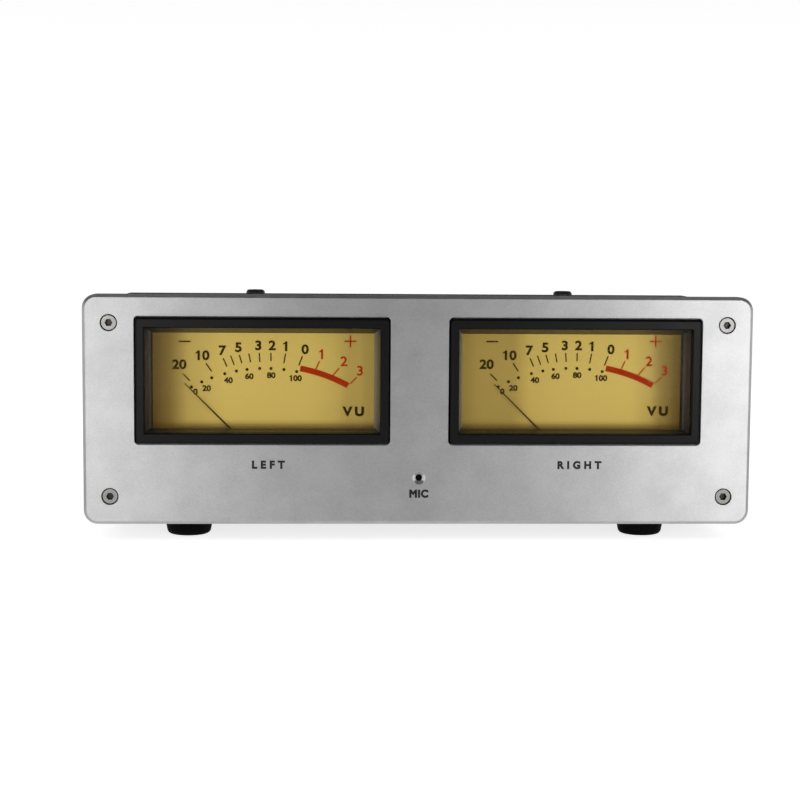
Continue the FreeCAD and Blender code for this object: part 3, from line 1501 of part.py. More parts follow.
for side, sign in SIDES.items():
    for make in (meter_bezel, meter_window, dial_frame, dial_plate, meter_case, movement_frame,
                 needle, moving_coil, needle_pivots):
        parts.append(make(side, sign + " * meter_x"))

doc.recompute()
failed = [item.Label for item in doc.Objects if {"Invalid", "Error"} & set(item.State)]
failed += [item.Label for item in parts if item.Shape.isNull() or not item.Shape.isValid()]
if failed:
    raise RuntimeError("did not build: " + ", ".join(failed))

os.makedirs("parts", exist_ok=True)
for item in parts:
    item.Shape.exportStep("parts/%s.step" % item.Label)
    print("%-24s %2d solids %10.2f mm3" % (item.Label, len(item.Shape.Solids), item.Shape.Volume))
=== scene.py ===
import math

import bmesh
import bpy
from mathutils import Matrix, Vector


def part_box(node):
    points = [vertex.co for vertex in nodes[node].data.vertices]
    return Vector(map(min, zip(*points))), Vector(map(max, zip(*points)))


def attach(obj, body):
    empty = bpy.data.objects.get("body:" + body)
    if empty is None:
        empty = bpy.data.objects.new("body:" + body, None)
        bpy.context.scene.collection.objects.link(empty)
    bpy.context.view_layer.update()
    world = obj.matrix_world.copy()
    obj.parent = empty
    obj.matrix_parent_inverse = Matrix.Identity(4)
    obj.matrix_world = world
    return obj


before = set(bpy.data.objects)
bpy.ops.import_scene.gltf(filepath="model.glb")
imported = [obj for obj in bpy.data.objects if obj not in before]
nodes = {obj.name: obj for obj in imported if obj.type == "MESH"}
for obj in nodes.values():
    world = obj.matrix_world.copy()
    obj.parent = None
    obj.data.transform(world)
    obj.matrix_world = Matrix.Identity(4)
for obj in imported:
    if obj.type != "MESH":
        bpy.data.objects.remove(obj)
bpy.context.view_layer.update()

# Looks for a stereo VU meter: the CAD solids get procedural finishes, and the dials, panel and
# controls get their printed marks. Metres, in the frame of the CAD model.

MM = 0.001


# ---------------------------------------------------------------- node trees

class Graph:
    """A node tree that is written as nested calls, where each call gives a node's output."""

    def __init__(self, tree):
        self.tree = tree
        tree.nodes.clear()

    def node(self, kind, inputs=None, output=0, **settings):
        """A node of a kind, whose inputs are numbers, colours or other nodes' outputs."""
        item = self.tree.nodes.new("ShaderNode" + kind)
        for name, value in settings.items():
            setattr(item, name, value)
        for key, value in (inputs or {}).items():
            socket = item.inputs[key]
            if isinstance(value, bpy.types.NodeSocket):
                self.tree.links.new(value, socket)
            else:
                socket.default_value = value
        return item.outputs[output] if item.outputs else item

    def math(self, operation, a, b=0.0, clamp=False):
        return self.node("Math", {0: a, 1: b}, operation=operation, use_clamp=clamp)

    def mix(self, factor, a, b):
        """Colour mix: the node's sockets 6, 7 and 2 are the ones for colours."""
        return self.node("Mix", {0: factor, 6: a, 7: b}, output=2, data_type="RGBA")

    def noise(self, size, detail=2.0, roughness=0.5):
        """Noise whose features are about one size, in metres."""
        where = self.node("TexCoord", output="Object")
        return self.node("TexNoise", {"Vector": where, "Scale": 1 / size, "Detail": detail,
                                      "Roughness": roughness})

    def ramp(self, factor, *stops, curve="EASE"):
        """A curve through (place, value) stops."""
        item = self.tree.nodes.new("ShaderNodeValToRGB")
        elements = item.color_ramp.elements
        item.color_ramp.interpolation = curve
        while len(elements) < len(stops):
            elements.new(0.5)
        for element, (place, value) in zip(elements, stops):
            element.position = place
            element.color = (value, value, value, 1)
        self.tree.links.new(factor, item.inputs[0])
        return item.outputs[0]


def new_material(name):
    material = bpy.data.materials.new(name)
    material.use_nodes = True
    return material, Graph(material.node_tree)


def add_object(name, data):
    item = bpy.data.objects.new(name, data)
    bpy.context.scene.collection.objects.link(item)
    return item


def seen_directly(graph):
    """1 for what the camera sees, also in metal or through glass."""
    path = graph.node("LightPath").node.outputs
    total = graph.math("ADD", path["Is Camera Ray"], path["Is Transmission Ray"], True)
    return graph.math("ADD", total, path["Is Glossy Ray"], True)


# ---------------------------------------------------------------- camera, light and floor

CAMERA_PLACE = Vector((-27.84, -568.44, 93.71)) * MM
CAMERA_PITCH, CAMERA_YAW, CAMERA_ROLL = 0.0970508, -0.0415408, 0.0069723
CAMERA_LENS, SENSOR_WIDTH = 79.02, 36
CLIP_START = 0.01

# Each light strip is (left, right, radiance).
LIGHT_DEPTH, LIGHT_HEIGHT = -0.5, 0.17
LIGHT_STRIPS = ((-0.3, -0.15, 5.8), (-0.15, -0.115, 3.3), (-0.115, -0.085, 1.8),
                (-0.085, -0.055, 1.1), (0.07, 0.115, 1.1), (0.115, 0.15, 2.0), (0.15, 0.19, 4.3),
                (0.19, 0.29, 8.5))
CARD_CORNERS = (Vector((-0.33, -0.62, 0.03)), Vector((0.38, -0.62, 0.65)))
CARD_COLOR = (0.02, 0.02, 0.02, 1)

WORLD_LIGHT, CEILING = 0.42, 0.12
FLOOR_HALF, FLOOR_TONE = 6.0, (0.8, 0.8, 0.8, 1)
# What the floor adds to its own look, near the object and far from it, as (distance, strength).
FLOOR_LIFTS = ((0.3, 0.78), (0.8, 0.7))
WHITE = (1, 1, 1, 1)


def add_camera():
    turn = (Matrix.Rotation(CAMERA_PITCH, 3, "X") @ Matrix.Rotation(CAMERA_YAW, 3, "Y")
            @ Matrix.Rotation(CAMERA_ROLL, 3, "Z"))
    right, down, forward = (Vector((row[0], row[2], -row[1])) for row in turn)
    data = bpy.data.cameras.new("camera")
    data.lens = CAMERA_LENS
    data.sensor_width = SENSOR_WIDTH
    data.clip_start = CLIP_START
    camera = add_object("camera", data)
    axes = Matrix((right, -down, -forward)).transposed()
    camera.matrix_world = Matrix.Translation(CAMERA_PLACE) @ axes.to_4x4()
    bpy.context.scene.camera = camera


def add_lights():
    """Two graduated soft lights of upright strips, which stand on the floor beside the camera."""
    for number, (left, right, radiance) in enumerate(LIGHT_STRIPS):
        data = bpy.data.lights.new("strip_%d" % number, "AREA")
        data.shape = "RECTANGLE"
        data.size, data.size_y = right - left, LIGHT_HEIGHT
        data.energy = radiance * math.pi * (right - left) * LIGHT_HEIGHT
        lamp = add_object(data.name, data)
        lamp.location = ((left + right) / 2, LIGHT_DEPTH, LIGHT_HEIGHT / 2)
        lamp.rotation_euler = (math.pi / 2, 0, 0)
        lamp.visible_camera = False


def add_card():
    """A dark card behind the camera, which only shows in what shines."""
    low, high = CARD_CORNERS
    mesh = bpy.data.meshes.new("card")
    corners = [low, (high.x, low.y, low.z), high, (low.x, low.y, high.z)]
    mesh.from_pydata(corners, [], [(0, 1, 2, 3)])
    card = add_object("card", mesh)
    material, graph = new_material("card")
    matt = graph.node("BsdfDiffuse", {"Color": CARD_COLOR})
    graph.node("OutputMaterial", {"Surface": matt})
    mesh.materials.append(material)
    card.visible_camera = card.visible_shadow = card.visible_diffuse = False


def add_world():
    """A white room with a dark ceiling where it shows, but an even light on what is matt."""
    world = bpy.data.worlds.new("studio")
    world.use_nodes = True
    graph = Graph(world.node_tree)
    height = graph.node("SeparateXYZ", {0: graph.node("TexCoord", output="Generated")}, output="Z")
    room = graph.ramp(height, (0.1, 1.0), (0.4, CEILING))
    extra = graph.math("MULTIPLY", seen_directly(graph), graph.math("SUBTRACT", room, WORLD_LIGHT))
    strength = graph.math("ADD", extra, WORLD_LIGHT)
    light = graph.node("Background", {"Color": WHITE, "Strength": strength})
    graph.node("OutputWorld", {"Surface": light})
    bpy.context.scene.world = world


def add_floor():
    """A pale floor that shows white, and keeps the object's shadow."""
    mesh = bpy.data.meshes.new("floor")
    corners = [(x * FLOOR_HALF, y * FLOOR_HALF, 0) for x, y in ((-1, -1), (1, -1), (1, 1), (-1, 1))]
    mesh.from_pydata(corners, [], [(0, 1, 2, 3)])
    floor = add_object("floor", mesh)
    material, graph = new_material("floor")
    diffuse = graph.node("BsdfDiffuse", {"Color": FLOOR_TONE})
    away = graph.node("VectorMath", {0: graph.node("TexCoord", output="Object")}, output="Value",
                      operation="LENGTH")
    lift = graph.math("MULTIPLY", seen_directly(graph), graph.ramp(away, *FLOOR_LIFTS))
    glow = graph.node("Emission", {"Color": WHITE, "Strength": lift})
    graph.node("OutputMaterial", {"Surface": graph.node("AddShader", {0: diffuse, 1: glow})})
    mesh.materials.append(material)


# ---------------------------------------------------------------- materials

RELIEF = 0.01 * MM              # depth of the finest unevenness
SMUDGE = 40                     # size of a smudge, in grains
RECESS_SHADE = 0.08                    # what the painted shade in recesses leaves of a colour
PANEL_COLOR, PANEL_ROUGHNESS, PANEL_STRETCH = (0.41, 0.41, 0.413), 0.35, 0.87
PIT_SIZE, CLOUD_SIZE, PANEL_EDGE = 0.3 * MM, 9 * MM, 0.25 * MM
# The colour of the painted highlight on the countersink's sides, and how far from its mouth it
# reaches.
COUNTERSINK_HIGHLIGHT, COUNTERSINK_REACH = (0.82, 0.82, 0.82, 1), 2.6 * MM
# The walls' black, the grey of their painted light from the dial, and their roughness.
WALL_COLOR, WALL_PAINTED_LIGHT, WALL_ROUGHNESS = (0.011, 0.0105, 0.0095), (1, 0.95, 0.88, 1), 0.28
PANE_COLOR, PANE_IOR = (0.98, 0.985, 0.98, 1), 1.07
# The dial's colour, the colour of its painted shade, and the strength of its painted glow.
DIAL_COLOR, DIAL_SHADE, DIAL_GLOW = (0.485, 0.35, 0.085), (0.1, 0.05, 0.006, 1), 0.42


def shade(color, factor):
    """A colour made lighter or darker by a factor."""
    return tuple(min(1.0, channel * factor) for channel in color[:3]) + (1.0,)


def mottle(graph, grain, color, spread):
    """A colour that varies with a grain noise, by a share up and down."""
    return graph.mix(graph.ramp(grain, (0.3, 0.0), (0.7, 1.0)), shade(color, 1 - spread),
                     shade(color, 1 + spread))


def edges(graph, radius):
    """A normal that is rounded off at the edges, and 1 where it leaves the plain one."""
    rounded = graph.node("Bevel", {"Radius": radius}, samples=4)
    flat = graph.node("NewGeometry", output="Normal")
    facing = graph.node("VectorMath", {0: rounded, 1: flat}, output="Value",
                        operation="DOT_PRODUCT")
    return rounded, graph.ramp(facing, (0.8, 1.0), (0.98, 0.0))


def finish(name, color, roughness, metallic=0.0, grain=0.4 * MM, spread=0.08, bump=0.2,
           depth=RELIEF, rough_spread=0.08, edge=0.15 * MM, wear=1.25, specular=0.5, coat=0.0,
           emission=None, recess_shade_reach=0.0):
    """A finish with fine grain, smudges in its gloss, rubbed edges, and painted shade in its
    recesses.
    """
    material, graph = new_material(name)
    fine = graph.noise(grain, detail=3.0)
    broad = graph.noise(SMUDGE * grain, detail=2.0)
    grainy = mottle(graph, fine, color, spread)
    rounded, at_edge = edges(graph, edge)
    rubbed = graph.math("MULTIPLY", at_edge, graph.ramp(broad, (0.35, 0.3), (0.65, 1.0)))
    base = graph.mix(rubbed, grainy, shade(color, wear))
    # Painted shade: the more closed in a spot is, the darker its colour is made.
    if recess_shade_reach:
        shelter = graph.node("AmbientOcclusion", {"Distance": recess_shade_reach}, output="AO", samples=8)
        base = graph.mix(graph.ramp(shelter, (0.35, 1.0), (0.7, 0.0)), base, shade(color, RECESS_SHADE))
    smudge = graph.math("MULTIPLY", graph.math("SUBTRACT", broad, 0.5), rough_spread * 2)
    gloss = graph.math("ADD", smudge, roughness, True)
    relief = graph.node("Bump", {"Strength": bump, "Distance": depth, "Height": fine,
                                 "Normal": rounded})
    settings = {"Base Color": base, "Roughness": gloss, "Metallic": metallic, "Normal": relief,
                "Specular IOR Level": specular, "Coat Weight": coat}
    if emission:
        settings.update({"Emission Color": color[:3] + (1.0,), "Emission Strength": emission})
    shader = graph.node("BsdfPrincipled", settings)
    graph.node("OutputMaterial", {"Surface": shader})
    return material


def blasted_aluminium():
    """Bead-blasted and clear anodised: fine pitting over faint clouds.

    The left and right sides of the countersink at the microphone are painted pale and not metallic,
    a painted highlight that stands in for the glints the side lights give there.
    """
    material, graph = new_material("blasted_aluminium")
    pits = graph.noise(PIT_SIZE, detail=2.0, roughness=0.7)
    clouds = graph.noise(CLOUD_SIZE, detail=4.0, roughness=0.6)
    together = graph.math("ADD", graph.math("MULTIPLY", pits, 0.6),
                          graph.math("MULTIPLY", clouds, 0.4))
    tone = graph.ramp(together, (0.36, 0.0), (0.64, 1.0))
    base = graph.mix(tone, shade(PANEL_COLOR, 0.9), shade(PANEL_COLOR, 1.1))
    rounded, polished = edges(graph, PANEL_EDGE)
    base = graph.mix(graph.math("MULTIPLY", polished, 0.6), base, shade(PANEL_COLOR, 1.25))
    gloss = graph.math("ADD", graph.math("MULTIPLY", pits, 0.1), PANEL_ROUGHNESS)
    relief = graph.node("Bump", {"Strength": 0.15, "Distance": RELIEF, "Height": pits,
                                 "Normal": rounded})
    upright = graph.node("Tangent", direction_type="RADIAL", axis="X")
    low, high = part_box("mic_capsule")
    mouth = ((low.x + high.x) / 2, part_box("front_panel")[0].y, (low.z + high.z) / 2)
    away = graph.node("VectorMath", {0: graph.node("TexCoord", output="Object"), 1: mouth},
                      output="Value", operation="DISTANCE")
    facing = graph.node("SeparateXYZ", {0: graph.node("NewGeometry", output="Normal")}, output="X")
    sideways = graph.math("ABSOLUTE", facing)
    # Painted highlight: the countersink's sides that face left or right are made pale and not
    # metallic.
    painted_glint = graph.math("MULTIPLY", graph.math("LESS_THAN", away, COUNTERSINK_REACH),
                     graph.ramp(sideways, (0.5, 0.0), (0.65, 1.0)))
    base = graph.mix(painted_glint, base, COUNTERSINK_HIGHLIGHT)
    metal = graph.math("SUBTRACT", 1.0, painted_glint)
    shader = graph.node("BsdfPrincipled", {
        "Base Color": base, "Roughness": gloss, "Metallic": metal, "Normal": relief,
        "Anisotropic": PANEL_STRETCH, "Tangent": upright})
    graph.node("OutputMaterial", {"Surface": shader})
    return material


def inner_frame():
    """Black moulded walls with a shine, and painted light from the lit dial.

    The walls towards the other meter have painted grey that grows towards the dial, and those away
    from it a painted pale line with a dark gap behind: both stand in for the dial's light on them.
    """
    material, graph = new_material("inner_frame")
    grain = graph.noise(0.4 * MM, detail=3.0)
    black = graph.mix(grain, shade(WALL_COLOR, 0.7), shade(WALL_COLOR, 1.3))
    facing = graph.node("SeparateXYZ", {0: graph.node("NewGeometry", output="Normal")}, output="X")
    spot = graph.node("SeparateXYZ", {0: graph.node("TexCoord", output="Object")}, output="X")
    depth = graph.node("SeparateXYZ", {0: graph.node("TexCoord", output="Generated")}, output="Y")
    inward = graph.math("MULTIPLY", facing, graph.math("SIGN", spot), True)
    opposite = graph.math("SIGN", graph.math("MULTIPLY", spot, -1.0))
    outward = graph.math("MULTIPLY", facing, opposite, True)
    # Painted light from the dial: grey towards the dial, and a pale line, set by which way a wall
    # faces.
    lit = graph.ramp(depth, (0.0, 0.05), (0.45, 0.16), (0.8, 0.3), curve="LINEAR")
    painted_wall_line = graph.ramp(depth, (0.5, 0.03), (0.6, 0.1), (0.7, 0.1), (0.8, 0.0))
    pale = graph.math("ADD", graph.math("MULTIPLY", inward, lit),
                      graph.math("MULTIPLY", outward, painted_wall_line))
    base = graph.mix(pale, black, WALL_PAINTED_LIGHT)
    gloss = graph.math("ADD", graph.math("MULTIPLY", grain, 0.1), WALL_ROUGHNESS)
    relief = graph.node("Bump", {"Strength": 0.2, "Distance": RELIEF, "Height": grain})
    shader = graph.node("BsdfPrincipled", {"Base Color": base, "Roughness": gloss,
                                           "Specular IOR Level": 0.22, "Normal": relief})
    graph.node("OutputMaterial", {"Surface": shader})
    return material


def clear_pane():
    """Clear acrylic with faint smears in its polish."""
    material, graph = new_material("clear_pane")
    smear = graph.noise(CLOUD_SIZE, detail=2.0)
    gloss = graph.math("MULTIPLY", smear, 0.05)
    relief = graph.node("Bump", {"Strength": 0.05, "Distance": RELIEF, "Height": smear})
    shader = graph.node("BsdfPrincipled", {
        "Base Color": PANE_COLOR, "Roughness": gloss, "IOR": PANE_IOR, "Transmission Weight": 1.0,
        "Normal": relief})
    graph.node("OutputMaterial", {"Surface": shader})
    return material


def lit_dial(name, *across_stops):
    """Matt yellow print with painted light: it glows by itself as if lit from behind, and is
    painted brightest at its middle, with painted shade along its edges where its walls shadow it.
    """
    material, graph = new_material(name)
    spot = graph.node("SeparateXYZ", {0: graph.node("TexCoord", output="Generated")}).node
    # Painted light and shade across and up the dial, which also sets how strongly it glows.
    across = graph.ramp(spot.outputs["X"], *across_stops, curve="LINEAR")
    up = graph.ramp(spot.outputs["Z"], (0.05, 0.25), (0.075, 0.5), (0.1, 0.85), (0.13, 1.0))
    light = graph.math("MULTIPLY", across, up)
    paper = graph.noise(0.5 * MM, detail=3.0)
    base = graph.mix(light, DIAL_SHADE, mottle(graph, paper, DIAL_COLOR, 0.04))
    glow = graph.math("MULTIPLY", light, DIAL_GLOW)
    relief = graph.node("Bump", {"Strength": 0.1, "Distance": RELIEF, "Height": paper})
    shader = graph.node("BsdfPrincipled", {
        "Base Color": base, "Roughness": 0.7, "Specular IOR Level": 0.1, "Emission Color": base,
        "Emission Strength": glow, "Normal": relief})
    graph.node("OutputMaterial", {"Surface": shader})
    return material


PANEL = blasted_aluminium()
PANE = clear_pane()
WALLS = inner_frame()
# The two dials differ only in their painted light and shade, each darker towards its outer side.
LEFT_DIAL = lit_dial(
    "left_lit_dial", (0.05, 0.16), (0.1, 0.3), (0.18, 0.8), (0.33, 1.0), (0.7, 0.96), (0.8, 0.86),
    (0.86, 0.7), (0.95, 0.72))
RIGHT_DIAL = lit_dial(
    "right_lit_dial", (0.05, 0.6), (0.25, 0.62), (0.32, 0.87), (0.45, 0.95), (0.76, 1.0),
    (0.84, 0.8), (0.88, 0.5), (0.94, 0.25))
POWDER = finish("powder_coat", (0.021, 0.021, 0.022), 0.72, grain=0.5 * MM, spread=0.25, bump=0.5,
                depth=0.03 * MM, wear=2.2, specular=0.08)
MOULDED = finish("moulded_black", (0.004, 0.004, 0.0041), 0.3, grain=0.35 * MM, spread=0.2,
                 bump=0.3, depth=0.02 * MM, edge=0.2 * MM, wear=2.0, specular=0.09)
RUBBER = finish("rubber", (0.003, 0.003, 0.003), 0.7, grain=0.3 * MM, spread=0.3, bump=0.35,
                depth=0.02 * MM, edge=0.3 * MM, wear=1.8, specular=0.04)
# Plated screws, with painted shade darkening their sockets and the gap around their heads.
PLATED = finish("plated_screw", (0.2, 0.195, 0.185), 0.35, metallic=1.0, grain=0.15 * MM,
                spread=0.1, edge=0.1 * MM, wear=1.5, recess_shade_reach=3 * MM)
STAINLESS = finish("stainless", (0.5, 0.49, 0.47), 0.24, metallic=1.0, grain=0.15 * MM, spread=0.08,
                   edge=0.08 * MM, wear=1.2)
BLACK_OXIDE = finish("black_oxide", (0.03, 0.03, 0.032), 0.34, metallic=0.6, grain=0.2 * MM,
                     edge=0.08 * MM, wear=3.0)
ZINC = finish("zinc", (0.45, 0.46, 0.47), 0.33, metallic=1.0, grain=0.3 * MM, spread=0.1, wear=1.2)
NICKEL = finish("nickel", (0.55, 0.53, 0.5), 0.18, metallic=1.0, grain=0.25 * MM, spread=0.04,
                wear=1.2)
LEVER = finish("lever_plating", (0.58, 0.56, 0.53), 0.4, metallic=1.0, grain=0.2 * MM, spread=0.06,
               edge=0.08 * MM, wear=1.2)
BRASS = finish("brass", (0.52, 0.35, 0.13), 0.28, metallic=1.0, grain=0.2 * MM, spread=0.08,
               wear=1.2)
COPPER = finish("copper_wire", (0.45, 0.17, 0.08), 0.35, metallic=1.0, grain=0.12 * MM, spread=0.2,
                bump=0.5)
IRON = finish("soft_iron", (0.2, 0.2, 0.21), 0.4, metallic=1.0, grain=0.2 * MM, spread=0.12)
ALLOY = finish("magnet_alloy", (0.34, 0.34, 0.36), 0.35, metallic=1.0, grain=0.25 * MM, spread=0.12)
BOARD = finish("board", (0.02, 0.13, 0.05), 0.35, grain=0.3 * MM, spread=0.15, wear=1.5, coat=0.3)
EPOXY = finish("epoxy", (0.02, 0.02, 0.021), 0.55, grain=0.2 * MM, spread=0.2)
SLEEVE = finish("can_sleeve", (0.02, 0.028, 0.07), 0.3, grain=0.3 * MM, spread=0.1, coat=0.3)
NYLON = finish("white_nylon", (0.66, 0.64, 0.58), 0.45, grain=0.3 * MM, spread=0.03, wear=1.1)
OPAL = finish("opal_sheet", (0.7, 0.69, 0.64), 0.5, grain=0.5 * MM, spread=0.03, wear=1.05)
INSULATION = finish("lead_insulation", (0.22, 0.03, 0.025), 0.45, grain=0.3 * MM, spread=0.08)
SOCKET_WHITE = finish("socket_white", (0.66, 0.66, 0.64), 0.25, grain=0.3 * MM, spread=0.03,
                      wear=1.1)
SOCKET_RED = finish("socket_red", (0.42, 0.02, 0.015), 0.25, grain=0.3 * MM, spread=0.05, wear=1.2)
SWITCH = finish("switch_nylon", (0.016, 0.016, 0.016), 0.48, grain=0.3 * MM, spread=0.2, wear=2.0,
                specular=0.3)
ROCKER = finish("rocker_gloss", (0.018, 0.018, 0.019), 0.2, grain=0.4 * MM, spread=0.1, wear=1.8)
KNOB = finish("knob_anodised", (0.03, 0.03, 0.033), 0.32, metallic=0.7, grain=0.15 * MM,
              spread=0.15, edge=0.1 * MM, wear=3.0)
NEEDLE = finish("needle_paint", (0.06, 0.03, 0.003), 0.5, grain=0.2 * MM, edge=0.03 * MM,
                specular=0.05)
LAMP = finish("lamp_lens", (0.9, 0.72, 0.38), 0.2, grain=0.4 * MM, spread=0.03, emission=1.5)
DARK_INK = finish("dial_ink", (0.04, 0.021, 0.001), 0.6, grain=0.15 * MM, spread=0.25,
                  edge=0.02 * MM, specular=0.03)
RED_INK = finish("red_ink", (0.42, 0.03, 0.001), 0.6, grain=0.2 * MM, spread=0.08, edge=0.02 * MM,
                 specular=0.03)
PANEL_INK = finish("panel_ink", (0.012, 0.012, 0.013), 0.45, grain=0.2 * MM, spread=0.3,
                   edge=0.02 * MM, specular=0.2)
WHITE_INK = finish("white_ink", (0.7, 0.7, 0.68), 0.5, grain=0.2 * MM, spread=0.05, edge=0.02 * MM)
FELT = finish("black_felt", (0.006, 0.006, 0.006), 0.9, grain=0.15 * MM, spread=0.5, bump=0.8,
              depth=0.05 * MM, specular=0.05)

# By the name of a node, or by its name without left_ or right_ where both sides share a finish.
FINISHES = {
    "front_panel": PANEL, "front_panel_screws": PLATED, "press_nuts": ZINC,
    "chassis_tray": POWDER, "rear_panel": POWDER, "top_cover": POWDER, "case_screws": BLACK_OXIDE,
    "feet": RUBBER, "foot_screws": ZINC, "mic_capsule": NICKEL, "mic_grommet": RUBBER,
    "main_board": BOARD, "board_standoffs": BRASS, "board_screws": ZINC, "board_chips": EPOXY,
    "board_capacitors": SLEEVE, "board_headers": NYLON, "internal_leads": INSULATION,
    "rca_shells": NICKEL, "left_rca_insulator": SOCKET_WHITE, "right_rca_insulator": SOCKET_RED,
    "rca_contacts": BRASS, "dc_jack_body": SWITCH, "dc_jack_pin": NICKEL,
    "power_switch_body": SWITCH, "power_rocker": ROCKER, "mode_switch_body": NICKEL,
    "mode_switch_lever": LEVER, "sensitivity_pot": ZINC, "sensitivity_shaft": STAINLESS,
    "sensitivity_knob": KNOB, "mounting_nuts": NICKEL, "diffusers": OPAL, "lamp_boards": BOARD,
    "lamps": LAMP, "meter_terminals": BRASS, "yoke_rings": IRON, "core_magnets": ALLOY,
    "front_bridges": BRASS, "jewel_screws": BRASS, "hairsprings": BRASS, "needle_stops": BRASS,
    "bezel": MOULDED, "window": PANE, "dial_frame": WALLS,
    "left_dial_plate": LEFT_DIAL, "right_dial_plate": RIGHT_DIAL,
    "meter_case": MOULDED, "movement_frame": BRASS, "needle": NEEDLE, "moving_coil": COPPER,
    "needle_pivots": STAINLESS,
}


def paint(item, material):
    item.data.materials.clear()
    item.data.materials.append(material)


def paint_nodes():
    """Give each node its finish, and let light through the panes."""
    for name, item in nodes.items():
        kind = name if name in FINISHES else name.split("_", 1)[1]
        paint(item, FINISHES[kind])
        if kind == "window":
            item.visible_shadow = False
            item.visible_diffuse = False


# ---------------------------------------------------------------- printed marks

INK_THICKNESS = 0.02 * MM
WORD_WELD, MARK_WELD = 1e-5, 1e-7       # in units of the type, and in metres
# The axes of a print on the front and on the rear: right, up, and out of the surface.
FRONT = Matrix(((1, 0, 0), (0, 0, -1), (0, 1, 0))).to_4x4()
REAR = Matrix(((-1, 0, 0), (0, 0, 1), (0, 1, 0))).to_4x4()


def ribbon(start, end, width):
    """A straight bar between two points."""
    a, b = Vector(start), Vector(end)
    side = (b - a).normalized().orthogonal() * width / 2
    return [a + side, b + side, b - side, a - side]


def disc(centre, radius, count=20):
    """A polygon that stands for a round dot."""
    angles = [i * math.tau / count for i in range(count)]
    rays = [Vector((math.cos(angle), math.sin(angle))) for angle in angles]
    return [Vector(centre) + radius * ray for ray in rays]


def arc_band(centre, radius, thickness, start, end, steps=28):
    """A curved band, its start and end in degrees clockwise from straight up."""
    angles = [math.radians(start + (end - start) * i / steps) for i in range(steps + 1)]
    rays = [Vector((math.sin(angle), math.cos(angle))) for angle in angles]
    outer = [Vector(centre) + ray * (radius + thickness / 2) for ray in rays]
    inner = [Vector(centre) + ray * (radius - thickness / 2) for ray in rays]
    return [[outer[i], outer[i + 1], inner[i + 1], inner[i]] for i in range(steps)]


def embolden(mesh, reach):
    """Push the outline of a flat, upward mesh outward by a distance."""
    pushes = {}
    for edge in mesh.edges:
        if edge.is_boundary:
            loop = edge.link_loops[0]
            along = (loop.link_loop_next.vert.co - loop.vert.co).normalized()
            for vert in edge.verts:
                pushes.setdefault(vert, []).append(Vector((along.y, -along.x, 0)))
    for vert, sides in pushes.items():
        mitre = sum(sides, Vector()) / max(0.5, 1 + sides[0].dot(sides[-1]))
        vert.co += mitre * reach


def lettering(text, centre, height, bold=0.0, spacing=1.0, stretch=1.0):
    """The faces of a word in plain type, centred on a point."""
    curve = bpy.data.curves.new("word", "FONT")
    curve.body = text
    curve.space_character = spacing
    word = add_object("word", curve)
    depsgraph = bpy.context.evaluated_depsgraph_get()
    flat = bpy.data.meshes.new_from_object(word.evaluated_get(depsgraph))
    mesh = bmesh.new()
    mesh.from_mesh(flat)
    bpy.data.objects.remove(word)
    bpy.data.meshes.remove(flat)
    bmesh.ops.remove_doubles(mesh, verts=mesh.verts, dist=WORD_WELD)
    low = Vector((min(v.co.x for v in mesh.verts), min(v.co.y for v in mesh.verts)))
    high = Vector((max(v.co.x for v in mesh.verts), max(v.co.y for v in mesh.verts)))
    scale = (height - 2 * bold) / (high.y - low.y)
    middle = (low + high) / 2
    for vert in mesh.verts:
        x, y = (vert.co.to_2d() - middle) * scale
        vert.co = Vector((centre[0] + x * stretch, centre[1] + y, 0))
    for face in mesh.faces:
        face.normal_update()
        if face.normal.z < 0:
            face.normal_flip()
    embolden(mesh, bold)
    faces = [[vert.co.to_2d() for vert in face.verts] for face in mesh.faces]
    mesh.free()
    if text.startswith("1"):
        left = centre[0] - (high.x - low.x) * scale * stretch / 2 - bold
        faces.append(one_flag(Vector((left, centre[1])), height))
    return faces


def one_flag(middle, height):
    """The stroke at the top left of a figure 1, from the middle of its upright's left side."""
    corners = ((0.04, 0.5), (-0.05, 0.36), (-0.21, 0.29), (-0.21, 0.18), (0.04, 0.24))
    return [middle + Vector(corner) * height for corner in corners]


def print_marks(name, shapes, place, material, body, thickness=INK_THICKNESS):
    """Raise flat shapes (in mm) a little off a surface, as one piece that rides on a body."""
    mesh = bmesh.new()
    for shape in shapes:
        corners = [mesh.verts.new((point.x * MM, point.y * MM, 0)) for point in shape]
        mesh.faces.new(corners)
    bmesh.ops.remove_doubles(mesh, verts=mesh.verts, dist=MARK_WELD)
    bmesh.ops.recalc_face_normals(mesh, faces=mesh.faces)
    for face in mesh.faces:
        if face.normal.z < 0:
            face.normal_flip()
    raised = bmesh.ops.extrude_face_region(mesh, geom=list(mesh.faces))["geom"]
    bmesh.ops.translate(mesh, verts=[v for v in raised if isinstance(v, bmesh.types.BMVert)],
                        vec=(0, 0, thickness))
    bmesh.ops.recalc_face_normals(mesh, faces=mesh.faces)
    data = bpy.data.meshes.new(name)
    mesh.transform(place)
    mesh.to_mesh(data)
    mesh.free()
    piece = add_object(name, data)
    paint(piece, material)
    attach(piece, body)


